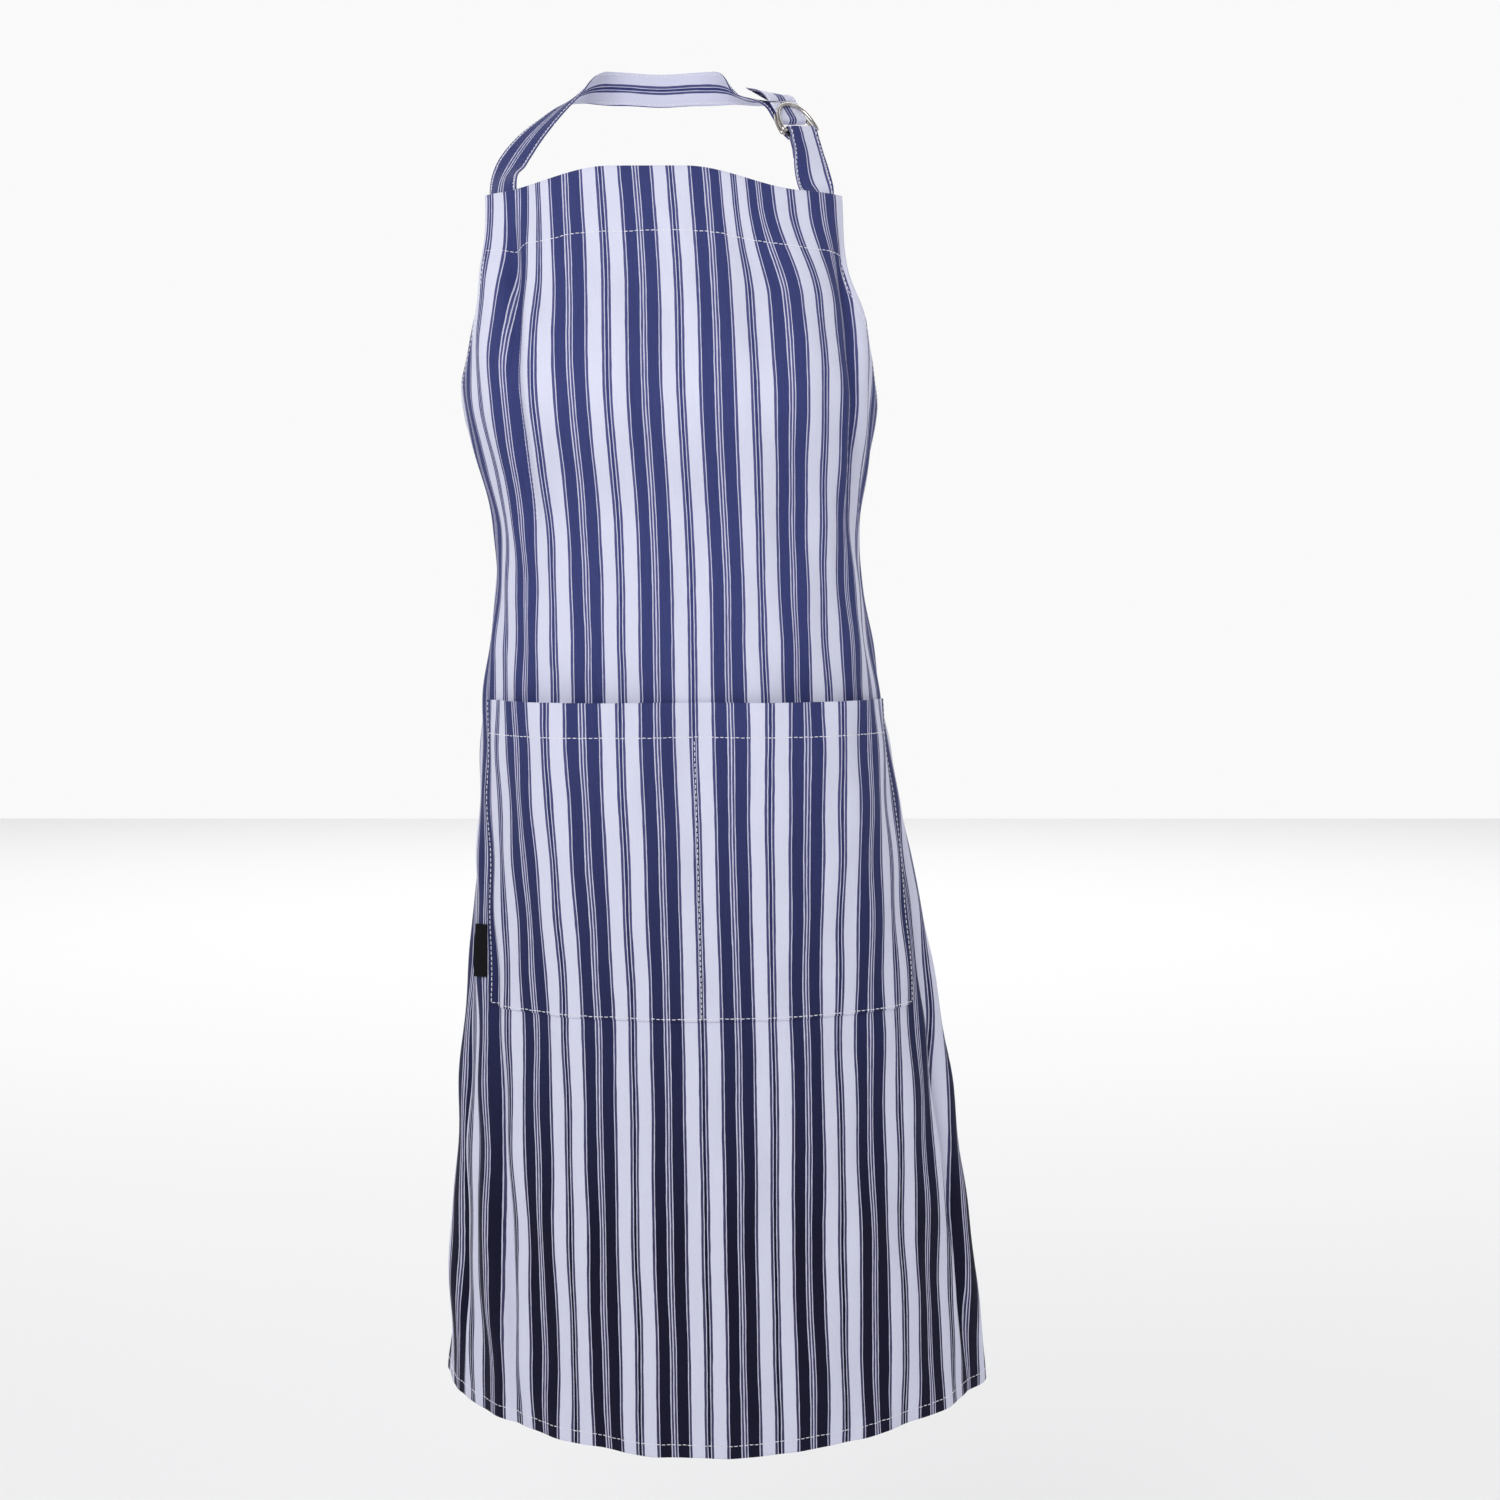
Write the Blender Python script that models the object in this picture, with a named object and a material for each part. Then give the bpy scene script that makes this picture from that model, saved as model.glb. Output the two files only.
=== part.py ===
"""Bib apron in ticking stripe, in the shape it takes when worn: neck strap over the shoulders, ties knotted
behind the waist. Metres, +Z up, the front faces -Y, the origin is where the neck strap rests on the nape."""

import bpy
import bmesh
import numpy as np
from mathutils import Vector

# ---- cloth, tape and wire ----
CLOTH = 0.0008            # one layer of woven cotton
TAPE = 0.0012             # doubled strap and tie tape
TAPE_WIDTH = 0.0240
GAP = 0.00035             # clearance between touching layers
LAYER = CLOTH + GAP       # spacing of stacked cloth layers
THREAD = 0.0004
THREAD_WIDTH = 0.0007

# ---- flat pattern of the apron, measured on the cloth ----
HALF_WIDTH = 0.320        # centre to side edge, below the waist
BIB_HALF_WIDTH = 0.130    # centre to corner, at the top of the bib
SIDE_HEM = 0.010
POCKET_HALF_WIDTH = 0.164
POCKET_SHIFT = 0.0053     # the pocket sits slightly to the wearer's left
POCKET_GAPE = 0.014       # how far each half of the pocket stands open at its top

# ---- levels, as heights at the side edges ----
TOP = -0.100
FACING_END = -0.1435
WAIST = -0.325
POCKET_TOP = -0.447
POCKET_HEM = -0.472
POCKET_BOTTOM = -0.665
HEM_LINE = -0.9595
BOTTOM = -0.970
TOP_ARCH = 0.014          # the top edge rises to this height between the straps
ARCH_MIDDLE = -0.08       # side of the arch's middle, half width of its flat top, and half width of its foot
ARCH_TOP = 0.20
ARCH_FOOT = 0.80
HEM_LIFT = 0.0225         # the hem rides this far up at the sides
HEM_TURN = 0.90           # side from which it stays level at that height

# ---- body stations: level, middle x, half width, front y, half depth, squareness, cloth drift ----
STATIONS = np.array([
    (-0.080, 0.005, 0.139, -0.139, 0.090, 2.9, 0.000),
    (-0.160, 0.008, 0.141, -0.172, 0.098, 2.8, -0.004),
    (-0.240, 0.010, 0.142, -0.205, 0.108, 2.9, -0.0055),
    (-0.325, 0.015, 0.128, -0.172, 0.096, 2.5, -0.0045),
    (-0.447, 0.018, 0.141, -0.165, 0.101, 2.4, -0.0045),
    (-0.665, 0.031, 0.169, -0.157, 0.118, 2.3, 0.003),
    (-0.860, 0.039, 0.193, -0.151, 0.134, 2.1, 0.008),
    (-1.000, 0.043, 0.204, -0.149, 0.142, 2.0, 0.009),
])

# ---- neck strap: after the bib's corner, over the shoulders and round the nape: point, then facing ----
STRAP_ROUTE = [
    ((-0.1015, -0.0900, -0.0740), (-0.35, -1.00, 0.45)),
    ((-0.0905, -0.0725, -0.0520), (-0.38, -0.85, 0.80)),
    ((-0.0780, -0.0580, -0.0345), (-0.40, -0.50, 1.00)),
    ((-0.0635, -0.0420, -0.0175), (-0.50, -0.22, 1.00)),
    ((-0.0500, -0.0240, -0.0050), (-0.90, 0.10, 0.60)),
    ((-0.0290, -0.0055, 0.000), (-0.60, 0.80, 0.05)),
    ((0.0000, 0.0006, 0.000), (0.00, 1.00, 0.00)),
    ((0.0290, -0.0055, 0.000), (0.60, 0.80, 0.05)),
    ((0.0490, -0.0240, -0.005), (1.00, 0.10, 0.45)),
    ((0.0620, -0.0420, -0.016), (0.55, -0.22, 1.00)),
]
STRAP_SIDE = 0.904        # where a strap is sewn behind the bib's corner
STRAP_SEWN = -0.128       # the sewn end reaches this far down
SEWN_DEPTH = 0.0008
SEWN_CROWN = 0.0028       # how far the strap's edges lie behind its middle where it is sewn
CROWN_FADE = 0.03         # height over which the strap becomes flat
NAPE_HALF_WIDTH = 0.05

# ---- the two D-rings, in a frame on the bars that the ring strap holds ----
WIRE = 0.0026
RING_HALF_WIDTH = 0.0148  # to the middle of the wire
RING_HEIGHT = 0.0235
RING_HEEL = 0.0011        # radius of the bends at the bar's ends
RING_SQUARENESS = 2.3
BAR_SPACING = 0.0030
RING_SPLAY = np.radians(2.5)
RING_CENTRE = np.array((0.1010, -0.0880, -0.0497))
TOWARDS_NECK = np.array((-0.414, 0.402, 0.807)) / np.linalg.norm((-0.414, 0.402, 0.807))
ALONG_BAR = np.array((0.81, 0.575, 0.137))
ALONG_BAR = ALONG_BAR - ALONG_BAR.dot(TOWARDS_NECK) * TOWARDS_NECK
ALONG_BAR = ALONG_BAR / np.linalg.norm(ALONG_BAR)
OUTWARD = np.cross(ALONG_BAR, TOWARDS_NECK)
INCOMING = -0.0048        # the neck strap's depth as it passes under both rings
TURN_RADIUS = 0.0024      # it turns back over the rear ring and under the front one
TURN_AT = 0.0130          # from the bars to the middle of that turn
RETURN_END = 0.0280
LOOP_RADIUS = 0.0023      # ring strap round each bar
LOOP_SHOULDER = (0.0040, 0.0012)   # below the bars and beside them, where the loop's legs draw together
LOOP_STITCH = 0.0080      # closing stitch, below the bars
LOOP_LEG = 0.0009         # half the spacing of the loop's two legs at the stitch
LOOP_FOOT = 0.0176        # below the bars, where the folded strap leaves the loop for the bib
FOOT_SHIFT = (-0.0022, 0.0, 0.0)
RING_STRAP_SIDE = 0.872   # the ring strap is sewn a little further in than the neck strap
RING_STRAP_STOP = ((0.1112, -0.1165, -0.0915), (0.05, -0.95, 0.30))   # above the bib's corner
NEAR_RINGS = (0.0255, 0.0180)   # stops of the neck strap under the bows, from the bars
TAIL_BEND = 0.0315        # from the bars, where the loose end bends towards the neck
TAIL_SHARE = 0.7          # the loose end reaches this share of the way to the strap's last stop
TAIL_LIFT = 0.0038

# ---- the ties behind the waist ----
TIE_LEVEL = WAIST - TAPE_WIDTH / 2
TIE_SEWN = 0.93           # where on the panel's side the tie's sewn end starts
TIE_FREE = 1.145          # past the panel's side, where the tie leaves the body's section for the knot
TIE_STOPS = 15
KNOT_SIZE = (0.026, 0.017, 0.025)
KNOT_STANDOFF = 0.0065
TIE_CLEARANCE = 0.002
TIE_DEPTH = 0.0045        # the ties enter the knot nearer the body than its middle
PINCHED = 0.014           # tape width where it enters the knot
TIE_SPREAD = 0.020        # length over which a tie spreads to its full width
BOW_DROOP = np.radians(24)
BOW_ROUTE = [(0.0140, -0.0005), (0.036, -0.0015), (0.066, 0.0000), (0.089, 0.0030), (0.097, 0.0085),
             (0.089, 0.0145), (0.066, 0.0165), (0.036, 0.0120), (0.0140, 0.0050)]
TAIL_ROUTE = [(0.0075, -0.0135), (0.0120, -0.060), (0.0210, -0.125), (0.0320, -0.200), (0.0430, -0.275),
              (0.0510, -0.350)]

# ---- woven label in the pocket's left seam ----
LABEL_TOP = -0.607
LABEL_HEIGHT = 0.038
LABEL_WIDTH = 0.0080
LABEL_LIFT = 0.0030
SEAM = 0.002              # from the pocket's edge to the thread that sews it on


def clear_scene():
    for item in list(bpy.data.objects):
        bpy.data.objects.remove(item, do_unlink=True)


def material(name, colour, roughness=0.85, metallic=0.0):
    made = bpy.data.materials.new(name)
    made.use_nodes = True
    shader = made.node_tree.nodes["Principled BSDF"]
    shader.inputs["Base Color"].default_value = (*colour, 1.0)
    shader.inputs["Roughness"].default_value = roughness
    shader.inputs["Metallic"].default_value = metallic
    return made


def eased(value, places, values):
    """Smooth curve through the given values, one cubic between each two places."""
    slopes = np.gradient(values, places)
    k = np.clip(np.searchsorted(places, value) - 1, 0, len(places) - 2)
    span = places[k + 1] - places[k]
    t = np.clip((value - places[k]) / span, 0.0, 1.0)
    start = (2 * t**3 - 3 * t**2 + 1) * values[k] + (t**3 - 2 * t**2 + t) * span * slopes[k]
    end = (3 * t**2 - 2 * t**3) * values[k + 1] + (t**3 - t**2) * span * slopes[k + 1]
    return start + end


def station(level):
    order = STATIONS[::-1]
    return [eased(level, order[:, 0], order[:, i]) for i in range(1, STATIONS.shape[1])]


def smooth_step(value, start, end):
    """0 before the start, 1 after the end, with a smooth rise between them."""
    t = np.clip((value - start) / (end - start), 0.0, 1.0)
    return t * t * (3 - 2 * t)


def edge_reach(level):
    """Distance on the cloth from the centre to the side edge: armhole curve, then straight."""
    t = np.clip((TOP - level) / (TOP - WAIST), 0.0, 1.0)
    return BIB_HALF_WIDTH + (HALF_WIDTH - BIB_HALF_WIDTH) * t**2.6


def section_point(reach, level):
    """Point on the body's section at a level, at a distance along the cloth from its centre."""
    middle, half_width, front, half_depth, squareness, drift = station(level)
    angle = np.linspace(-np.pi, np.pi, 721)
    x = half_width * np.sign(np.sin(angle)) * np.abs(np.sin(angle)) ** (2 / squareness)
    y = half_depth * np.sign(np.cos(angle)) * np.abs(np.cos(angle)) ** (2 / squareness)
    length = np.concatenate(([0.0], np.cumsum(np.hypot(np.diff(x), np.diff(y)))))
    length -= length[len(length) // 2]
    across = np.interp(reach - drift, length, x)
    depth = np.interp(reach - drift, length, y)
    return middle + across, front + half_depth - depth


def arch_share(side):
    """Height of the top edge's arch between the two straps, as a share of its middle height."""
    return 1 - smooth_step(abs(side - ARCH_MIDDLE), ARCH_TOP, ARCH_FOOT)


def cloth_point(side, level):
    """Middle of the panel's cloth; side runs from -1 at the left edge to 1 at the right edge."""
    x, y = section_point(side * edge_reach(level), level)
    arch = TOP_ARCH * arch_share(side) * np.clip((level - WAIST) / (TOP - WAIST), 0, 1) ** 2
    fallen = np.clip((WAIST - level) / (WAIST - BOTTOM), 0, 1)
    lift = HEM_LIFT * smooth_step(abs(side), 0.0, HEM_TURN) * fallen**2
    return np.array((x, y, level + arch + lift))


def cloth_normal(side, level):
    step = 0.004
    across = cloth_point(side + step, level) - cloth_point(side - step, level)
    upward = cloth_point(side, level + step) - cloth_point(side, level - step)
    normal = np.cross(across, upward)
    return normal / np.linalg.norm(normal)


def steps(*stretches):
    """Grid lines through the given key values, each stretch split into equal parts."""
    lines = [stretches[0]]
    for count, end in stretches[1:]:
        lines += list(np.linspace(lines[-1], end, count + 1)[1:])
    return np.array(lines)


SIDE_LINE = 1 - SIDE_HEM / HALF_WIDTH
POCKET_LEFT = (POCKET_SHIFT - POCKET_HALF_WIDTH) / HALF_WIDTH
POCKET_RIGHT = (POCKET_SHIFT + POCKET_HALF_WIDTH) / HALF_WIDTH
DIVIDER = POCKET_SHIFT / HALF_WIDTH
LEFT_SEAM = POCKET_LEFT + SEAM / HALF_WIDTH
RIGHT_SEAM = POCKET_RIGHT - SEAM / HALF_WIDTH
BOTTOM_SEAM = POCKET_BOTTOM + SEAM
COLUMNS = steps(-1.0, (1, -SIDE_LINE), (6, POCKET_LEFT), (1, LEFT_SEAM), (7, DIVIDER), (7, RIGHT_SEAM),
                (1, POCKET_RIGHT), (6, SIDE_LINE), (1, 1.0))
LEVELS = steps(TOP, (2, FACING_END), (7, WAIST), (4, POCKET_TOP), (1, POCKET_HEM), (6, BOTTOM_SEAM),
               (1, POCKET_BOTTOM), (7, HEM_LINE), (1, BOTTOM))


def between(lines, low, high):
    return [value for value in lines if low - 1e-6 <= value <= high + 1e-6]


def inside(side, level, layers, thickness):
    """Middle of a sheet that lies behind the panel and a number of other layers, and the way it faces."""
    normal = cloth_normal(side, level)
    depth = CLOTH / 2 + layers * LAYER + GAP + thickness / 2
    return cloth_point(side, level) - normal * depth, normal


def shell(name, middle, normals, thickness, look):
    """Closed sheet of the given thickness about a grid of middle points."""
    rows, columns = middle.shape[:2]
    faces = [middle + normals * thickness / 2, middle - normals * thickness / 2]
    points = np.concatenate([face.reshape(-1, 3) for face in faces])
    mesh = bmesh.new()
    verts = [mesh.verts.new(point) for point in points]
    inner = rows * columns

    def at(row, column, side):
        return verts[row * columns + column + side * inner]

    for row in range(rows - 1):
        for column in range(columns - 1):
            for side in (0, 1):
                mesh.faces.new([at(row, column, side), at(row, column + 1, side),
                                at(row + 1, column + 1, side), at(row + 1, column, side)])
    rim = [(0, column) for column in range(columns - 1)]
    rim += [(row, columns - 1) for row in range(rows - 1)]
    rim += [(rows - 1, column) for column in range(columns - 1, 0, -1)]
    rim += [(row, 0) for row in range(rows - 1, 0, -1)]
    for (row, column), (next_row, next_column) in zip(rim, rim[1:] + rim[:1]):
        mesh.faces.new([at(row, column, 0), at(next_row, next_column, 0),
                        at(next_row, next_column, 1), at(row, column, 1)])
    bmesh.ops.recalc_face_normals(mesh, faces=mesh.faces)
    return finish(name, mesh, look)


def finish(name, mesh, look, origin=Vector((0, 0, 0))):
    """Object from a bmesh in world coordinates, with its origin at the given point."""
    bmesh.ops.translate(mesh, verts=mesh.verts, vec=-Vector(origin))
    data = bpy.data.meshes.new(name)
    mesh.to_mesh(data)
    mesh.free()
    data.shade_smooth()
    data.materials.append(look)
    made = bpy.data.objects.new(name, data)
    made.location = origin
    bpy.context.scene.collection.objects.link(made)
    return made


def set_origin(item, origin):
    """Move an object's origin without moving its surface, for a piece that turns about a joint."""
    shift = Vector(origin) - item.location
    for vertex in item.data.vertices:
        vertex.co -= shift
    item.location = origin


def layer(name, sides, levels, offset, look, thickness=CLOTH):
    """Sheet that follows the panel at an offset, which may vary over the sheet."""
    middle = np.zeros((len(levels), len(sides), 3))
    normals = np.zeros_like(middle)
    for i, level in enumerate(levels):
        for j, side in enumerate(sides):
            normals[i, j] = cloth_normal(side, level)
            middle[i, j] = cloth_point(side, level) + normals[i, j] * offset(side, level)
    return shell(name, middle, normals, thickness, look)


def ribbon(name, centres, facings, width, look, crown=0.0, thickness=TAPE):
    """Tape along a route, its face turned to each facing; its width and its crown may vary along it."""
    centres = np.array(centres, float)
    tangents = np.gradient(centres, axis=0)
    tangents /= np.linalg.norm(tangents, axis=1)[:, None]
    facings = np.array(facings, float)
    facings -= np.sum(facings * tangents, axis=1)[:, None] * tangents
    facings /= np.linalg.norm(facings, axis=1)[:, None]
    across = np.cross(tangents, facings)
    lanes = np.array([-0.5, -0.25, 0.0, 0.25, 0.5])
    widths = np.broadcast_to(width, len(centres))[:, None] * lanes
    sinks = np.broadcast_to(crown, len(centres))[:, None] * (2 * lanes) ** 2
    middle = centres[:, None] + across[:, None] * widths[..., None] - facings[:, None] * sinks[..., None]
    normals = np.repeat(facings[:, None], len(lanes), axis=1)
    return shell(name, middle, normals, thickness, look)


def smooth_route(stops, spacing=0.008):
    """Points and facings along a smooth curve through hand-set stops."""
    points = np.array([stop[0] for stop in stops], float)
    facings = np.array([np.array(stop[1]) / np.linalg.norm(stop[1]) for stop in stops])
    place = np.concatenate(([0.0], np.cumsum(np.linalg.norm(np.diff(points, axis=0), axis=1))))
    at = np.linspace(0.0, place[-1], int(round(place[-1] / spacing)) + 1)
    return tuple(np.array([[eased(s, place, data[:, k]) for k in range(3)] for s in at])
                 for data in (points, facings))


def ring_point(across, towards, out):
    """World point from the rings' frame."""
    return RING_CENTRE + across * ALONG_BAR + towards * TOWARDS_NECK + out * OUTWARD


def pocket_offset(side, level):
    """The pocket lies on the panel at its seams and stands open towards its top, in two bays."""
    rise = np.clip((level - BOTTOM_SEAM) / (POCKET_TOP - BOTTOM_SEAM), 0, 1)
    bay = (side - LEFT_SEAM) / (DIVIDER - LEFT_SEAM)
    if side > DIVIDER:
        bay = (side - DIVIDER) / (RIGHT_SEAM - DIVIDER)
    belly = np.sin(np.pi * np.clip(bay, 0, 1)) ** 1.3
    room_for_hem = LAYER * np.clip(rise / 0.85, 0, 1)
    return LAYER + room_for_hem + POCKET_GAPE * belly * np.sin(np.pi / 2 * rise) ** 1.2


def pocket_hem_offset(side, level):
    return pocket_offset(side, level) - LAYER


def thread_over(offset):
    """Offset of a seam's thread that lies on the sheet with the given offset."""
    return lambda side, level: offset(side, level) + (CLOTH + THREAD) / 2 + GAP


def on_panel(side, level):
    return 0.0


def behind_panel(side, level):
    return -LAYER


def level_thread(name, level, sides, offset, look):
    half = THREAD_WIDTH / 2
    return layer(name, sides, [level + half, level, level - half], thread_over(offset), look, THREAD)


def upright_thread(name, side, levels, offset, look):
    half = THREAD_WIDTH / 2 / HALF_WIDTH
    return layer(name, [side - half, side, side + half], levels, thread_over(offset), look, THREAD)


def make_panel(cotton, white):
    """The apron's body, its turned hems on the inside, and the thread runs seen on its face."""
    layer("apron_panel", COLUMNS, LEVELS, on_panel, cotton)
    layer("bib_facing", COLUMNS, between(LEVELS, FACING_END, TOP), behind_panel, cotton)
    inset = GAP / 2
    armhole = between(LEVELS, WAIST, FACING_END - inset)
    armhole[0] -= inset
    armhole[-1] += inset
    skirt = between(LEVELS, BOTTOM, WAIST)
    skirt[0] -= inset
    for hand, sign in (("left", -1), ("right", 1)):
        sides = sorted((sign * SIDE_LINE, sign * 1.0))
        layer(f"{hand}_armhole_hem", sides, armhole, behind_panel, cotton)
        layer(f"{hand}_side_hem", sides, skirt, behind_panel, cotton)
    bottom = between(COLUMNS, -SIDE_LINE, SIDE_LINE)
    bottom[0] += inset / HALF_WIDTH * 2
    bottom[-1] -= inset / HALF_WIDTH * 2
    layer("bottom_hem", bottom, [HEM_LINE, BOTTOM], behind_panel, cotton)
    level_thread("bib_facing_thread", FACING_END, COLUMNS[1:-1], on_panel, white)
    level_thread("bottom_hem_thread", HEM_LINE, COLUMNS[1:-1], on_panel, white)
    seam = [FACING_END - 0.004] + list(LEVELS[3:-2]) + [HEM_LINE + 0.004]
    upright_thread("left_edge_thread", -SIDE_LINE, seam, on_panel, white)
    upright_thread("right_edge_thread", SIDE_LINE, seam, on_panel, white)


def make_pocket(cotton, white):
    """Two-bay pocket with its turned top hem and the thread runs that sew it on."""
    sides = between(COLUMNS, POCKET_LEFT, POCKET_RIGHT)
    seamed = between(COLUMNS, LEFT_SEAM, RIGHT_SEAM)
    layer("pocket_panel", sides, between(LEVELS, POCKET_BOTTOM, POCKET_TOP), pocket_offset, cotton)
    layer("pocket_top_hem", seamed, [POCKET_TOP, POCKET_HEM], pocket_hem_offset, cotton)
    clear = 0.0015
    crossing = clear / HALF_WIDTH
    for name, level in (("pocket_hem_thread", POCKET_HEM), ("pocket_bottom_thread", BOTTOM_SEAM)):
        run = [LEFT_SEAM + crossing, *seamed[1:-1], RIGHT_SEAM - crossing]
        level_thread(name, level, run, pocket_offset, white)
    upright = between(LEVELS, BOTTOM_SEAM, POCKET_TOP)
    stitched = [POCKET_HEM - clear, *between(LEVELS, BOTTOM_SEAM, POCKET_HEM)[1:-1], BOTTOM_SEAM + clear]
    upright_thread("pocket_left_thread", LEFT_SEAM, upright, pocket_offset, white)
    upright_thread("pocket_right_thread", RIGHT_SEAM, upright, pocket_offset, white)
    upright_thread("pocket_divider_thread", DIVIDER, stitched, pocket_offset, white)


def make_label(woven):
    """Folded woven label that stands out from the pocket's left seam, hinged along that seam."""
    root = POCKET_LEFT - GAP / HALF_WIDTH
    tip = root - LABEL_WIDTH / HALF_WIDTH

    def lifted(side, level):
        return LAYER + LABEL_LIFT * (root - side) / (root - tip)

    sides = [tip, (root + tip) / 2, root]
    label = layer("side_label", sides, [LABEL_TOP, LABEL_TOP - LABEL_HEIGHT], lifted, woven)
    middle = LABEL_TOP - LABEL_HEIGHT / 2
    set_origin(label, Vector(cloth_point(root, middle) + cloth_normal(root, middle) * LAYER))


def sewn_end(side):
    """Stops of a strap's sewn end, behind the bib's corner and its facing."""
    levels = np.linspace(STRAP_SEWN, TOP, 3)
    return [inside(side, level, 1, TAPE + 2 * SEWN_DEPTH) for level in levels]


def sewn_crown(centres, side):
    """A strap is bent across to the bib's curve where it is sewn, and flat beyond it."""
    bib_top = cloth_point(side, TOP)[2]
    at_side = np.sign(side) * centres[:, 0] > NAPE_HALF_WIDTH
    return SEWN_CROWN * np.clip(1 - (centres[:, 2] - bib_top) / CROWN_FADE, 0, 1) * at_side


def ring_frame(towards, out):
    return ring_point(0.0, towards, out)


def make_neck_strap(cotton):
    """Long strap: sewn behind the left corner, round the nape, under both rings and back between them."""
    approach = [(ring_frame(towards, INCOMING), OUTWARD) for towards in (*NEAR_RINGS, TURN_AT)]
    centres, facings = smooth_route(sewn_end(-STRAP_SIDE) + STRAP_ROUTE + approach)
    turn = np.linspace(0, np.pi, 9)[1:]
    middle = INCOMING + TURN_RADIUS
    for angle in turn:
        centres = np.vstack((centres, ring_frame(TURN_AT - TURN_RADIUS * np.sin(angle),
                                                 middle - TURN_RADIUS * np.cos(angle))))
        facings = np.vstack((facings, np.sin(angle) * TOWARDS_NECK + np.cos(angle) * OUTWARD))
    for towards in (NEAR_RINGS[1], RETURN_END):
        centres = np.vstack((centres, ring_frame(towards, 0.0)))
        facings = np.vstack((facings, -OUTWARD))
    ribbon("neck_strap", centres, facings, TAPE_WIDTH, cotton, sewn_crown(centres, -STRAP_SIDE))
    last_point, last_facing = (np.array(item) for item in STRAP_ROUTE[-1])
    last_facing /= np.linalg.norm(last_facing)
    start = ring_frame(RETURN_END + 3 * GAP, 0.0)
    stops = [(start, OUTWARD), (ring_frame(TAIL_BEND, 0.0), OUTWARD),
             (start + TAIL_SHARE * (last_point - start) + last_facing * TAIL_LIFT, last_facing)]
    tail = ribbon("strap_tail", *smooth_route(stops, 0.006), TAPE_WIDTH, cotton)
    set_origin(tail, Vector(start))


def make_ring_strap(cotton):
    """Short strap: sewn behind the right corner, looped round both rings' bars and stitched to itself."""
    outer = BAR_SPACING / 2
    rise = [RING_STRAP_STOP, (ring_frame(-LOOP_FOOT, LOOP_LEG) + FOOT_SHIFT, OUTWARD),
            (ring_frame(-LOOP_STITCH, LOOP_LEG), OUTWARD)]
    centres, facings = smooth_route(sewn_end(RING_STRAP_SIDE) + rise, 0.006)
    leg = list(zip(centres[-4:-1][::-1], facings[-4:-1][::-1]))
    wrap = [(0.0, outer + LOOP_RADIUS, 0.0), *((LOOP_RADIUS * np.sin(a), outer + LOOP_RADIUS * np.cos(a), a)
            for a in np.linspace(0, np.pi / 2, 5)[1:])]
    wrap += [(towards, -out, np.pi - angle) for towards, out, angle in wrap[::-1]]
    below, aside = LOOP_SHOULDER
    for towards, out, angle in [(-below, outer + aside, 0.0), *wrap, (-below, -outer - aside, np.pi),
                                (-LOOP_STITCH, -LOOP_LEG, np.pi)]:
        centres = np.vstack((centres, ring_frame(towards, out)))
        facings = np.vstack((facings, np.cos(angle) * OUTWARD + np.sin(angle) * TOWARDS_NECK))
    for point, facing in leg:
        unit = facing / np.linalg.norm(facing)
        centres = np.vstack((centres, point - unit * 2 * LOOP_LEG))
        facings = np.vstack((facings, -unit))
    ribbon("ring_strap", centres, facings, TAPE_WIDTH, cotton, sewn_crown(centres, RING_STRAP_SIDE))


def make_ring(name, sign, steel):
    """D-ring: a straight bar held by the ring strap and a square-shouldered bow towards the neck."""
    angles = np.linspace(0.02, np.pi - 0.02, 24)
    power = 2 / RING_SQUARENESS
    bow = [(RING_HALF_WIDTH * np.sign(np.cos(a)) * abs(np.cos(a)) ** power, RING_HEIGHT * np.sin(a) ** power)
           for a in angles]
    heel = RING_HALF_WIDTH - RING_HEEL
    path = bow + [(-heel, 0.0), (-heel / 3, 0.0), (heel / 3, 0.0), (heel, 0.0)]
    tilt = sign * RING_SPLAY
    lean = np.cos(tilt) * TOWARDS_NECK + np.sin(tilt) * OUTWARD
    plane = np.cos(tilt) * OUTWARD - np.sin(tilt) * TOWARDS_NECK
    bar = ring_frame(0.0, sign * BAR_SPACING / 2)
    points = np.array([bar + across * ALONG_BAR + along * lean for across, along in path])
    mesh = bmesh.new()
    rings = []
    for k, point in enumerate(points):
        tangent = points[(k + 1) % len(points)] - points[k - 1]
        side = np.cross(tangent / np.linalg.norm(tangent), plane)
        rings.append([mesh.verts.new(point + WIRE / 2 * (np.cos(a) * side + np.sin(a) * plane))
                      for a in np.linspace(0, 2 * np.pi, 8, endpoint=False)])
    for ring, following in zip(rings, rings[1:] + rings[:1]):
        for k in range(8):
            mesh.faces.new((ring[k], ring[(k + 1) % 8], following[(k + 1) % 8], following[k]))
    bmesh.ops.recalc_face_normals(mesh, faces=mesh.faces)
    return finish(name, mesh, steel, Vector(bar))


def knot_centre():
    """Behind the waist, where the two ties meet."""
    x, y = section_point(1.0, TIE_LEVEL)
    return np.array((x, y + KNOT_STANDOFF, TIE_LEVEL))


def make_ties(cotton):
    """Waist ties from the panel's sides to the knot, two bow loops and two hanging ends."""
    knot = knot_centre()
    mesh = bmesh.new()
    bmesh.ops.create_uvsphere(mesh, u_segments=14, v_segments=8, radius=0.5)
    bmesh.ops.scale(mesh, vec=KNOT_SIZE, verts=mesh.verts)
    bmesh.ops.translate(mesh, vec=knot, verts=mesh.verts)
    finish("waist_knot", mesh, cotton)
    for hand, sign in (("left", -1), ("right", 1)):
        make_tie(f"{hand}_waist_tie", sign, knot, cotton)
        make_bow(f"{hand}_bow_loop", sign, knot, cotton)
        make_tail(f"{hand}_tie_end", sign, knot, cotton)


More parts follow.
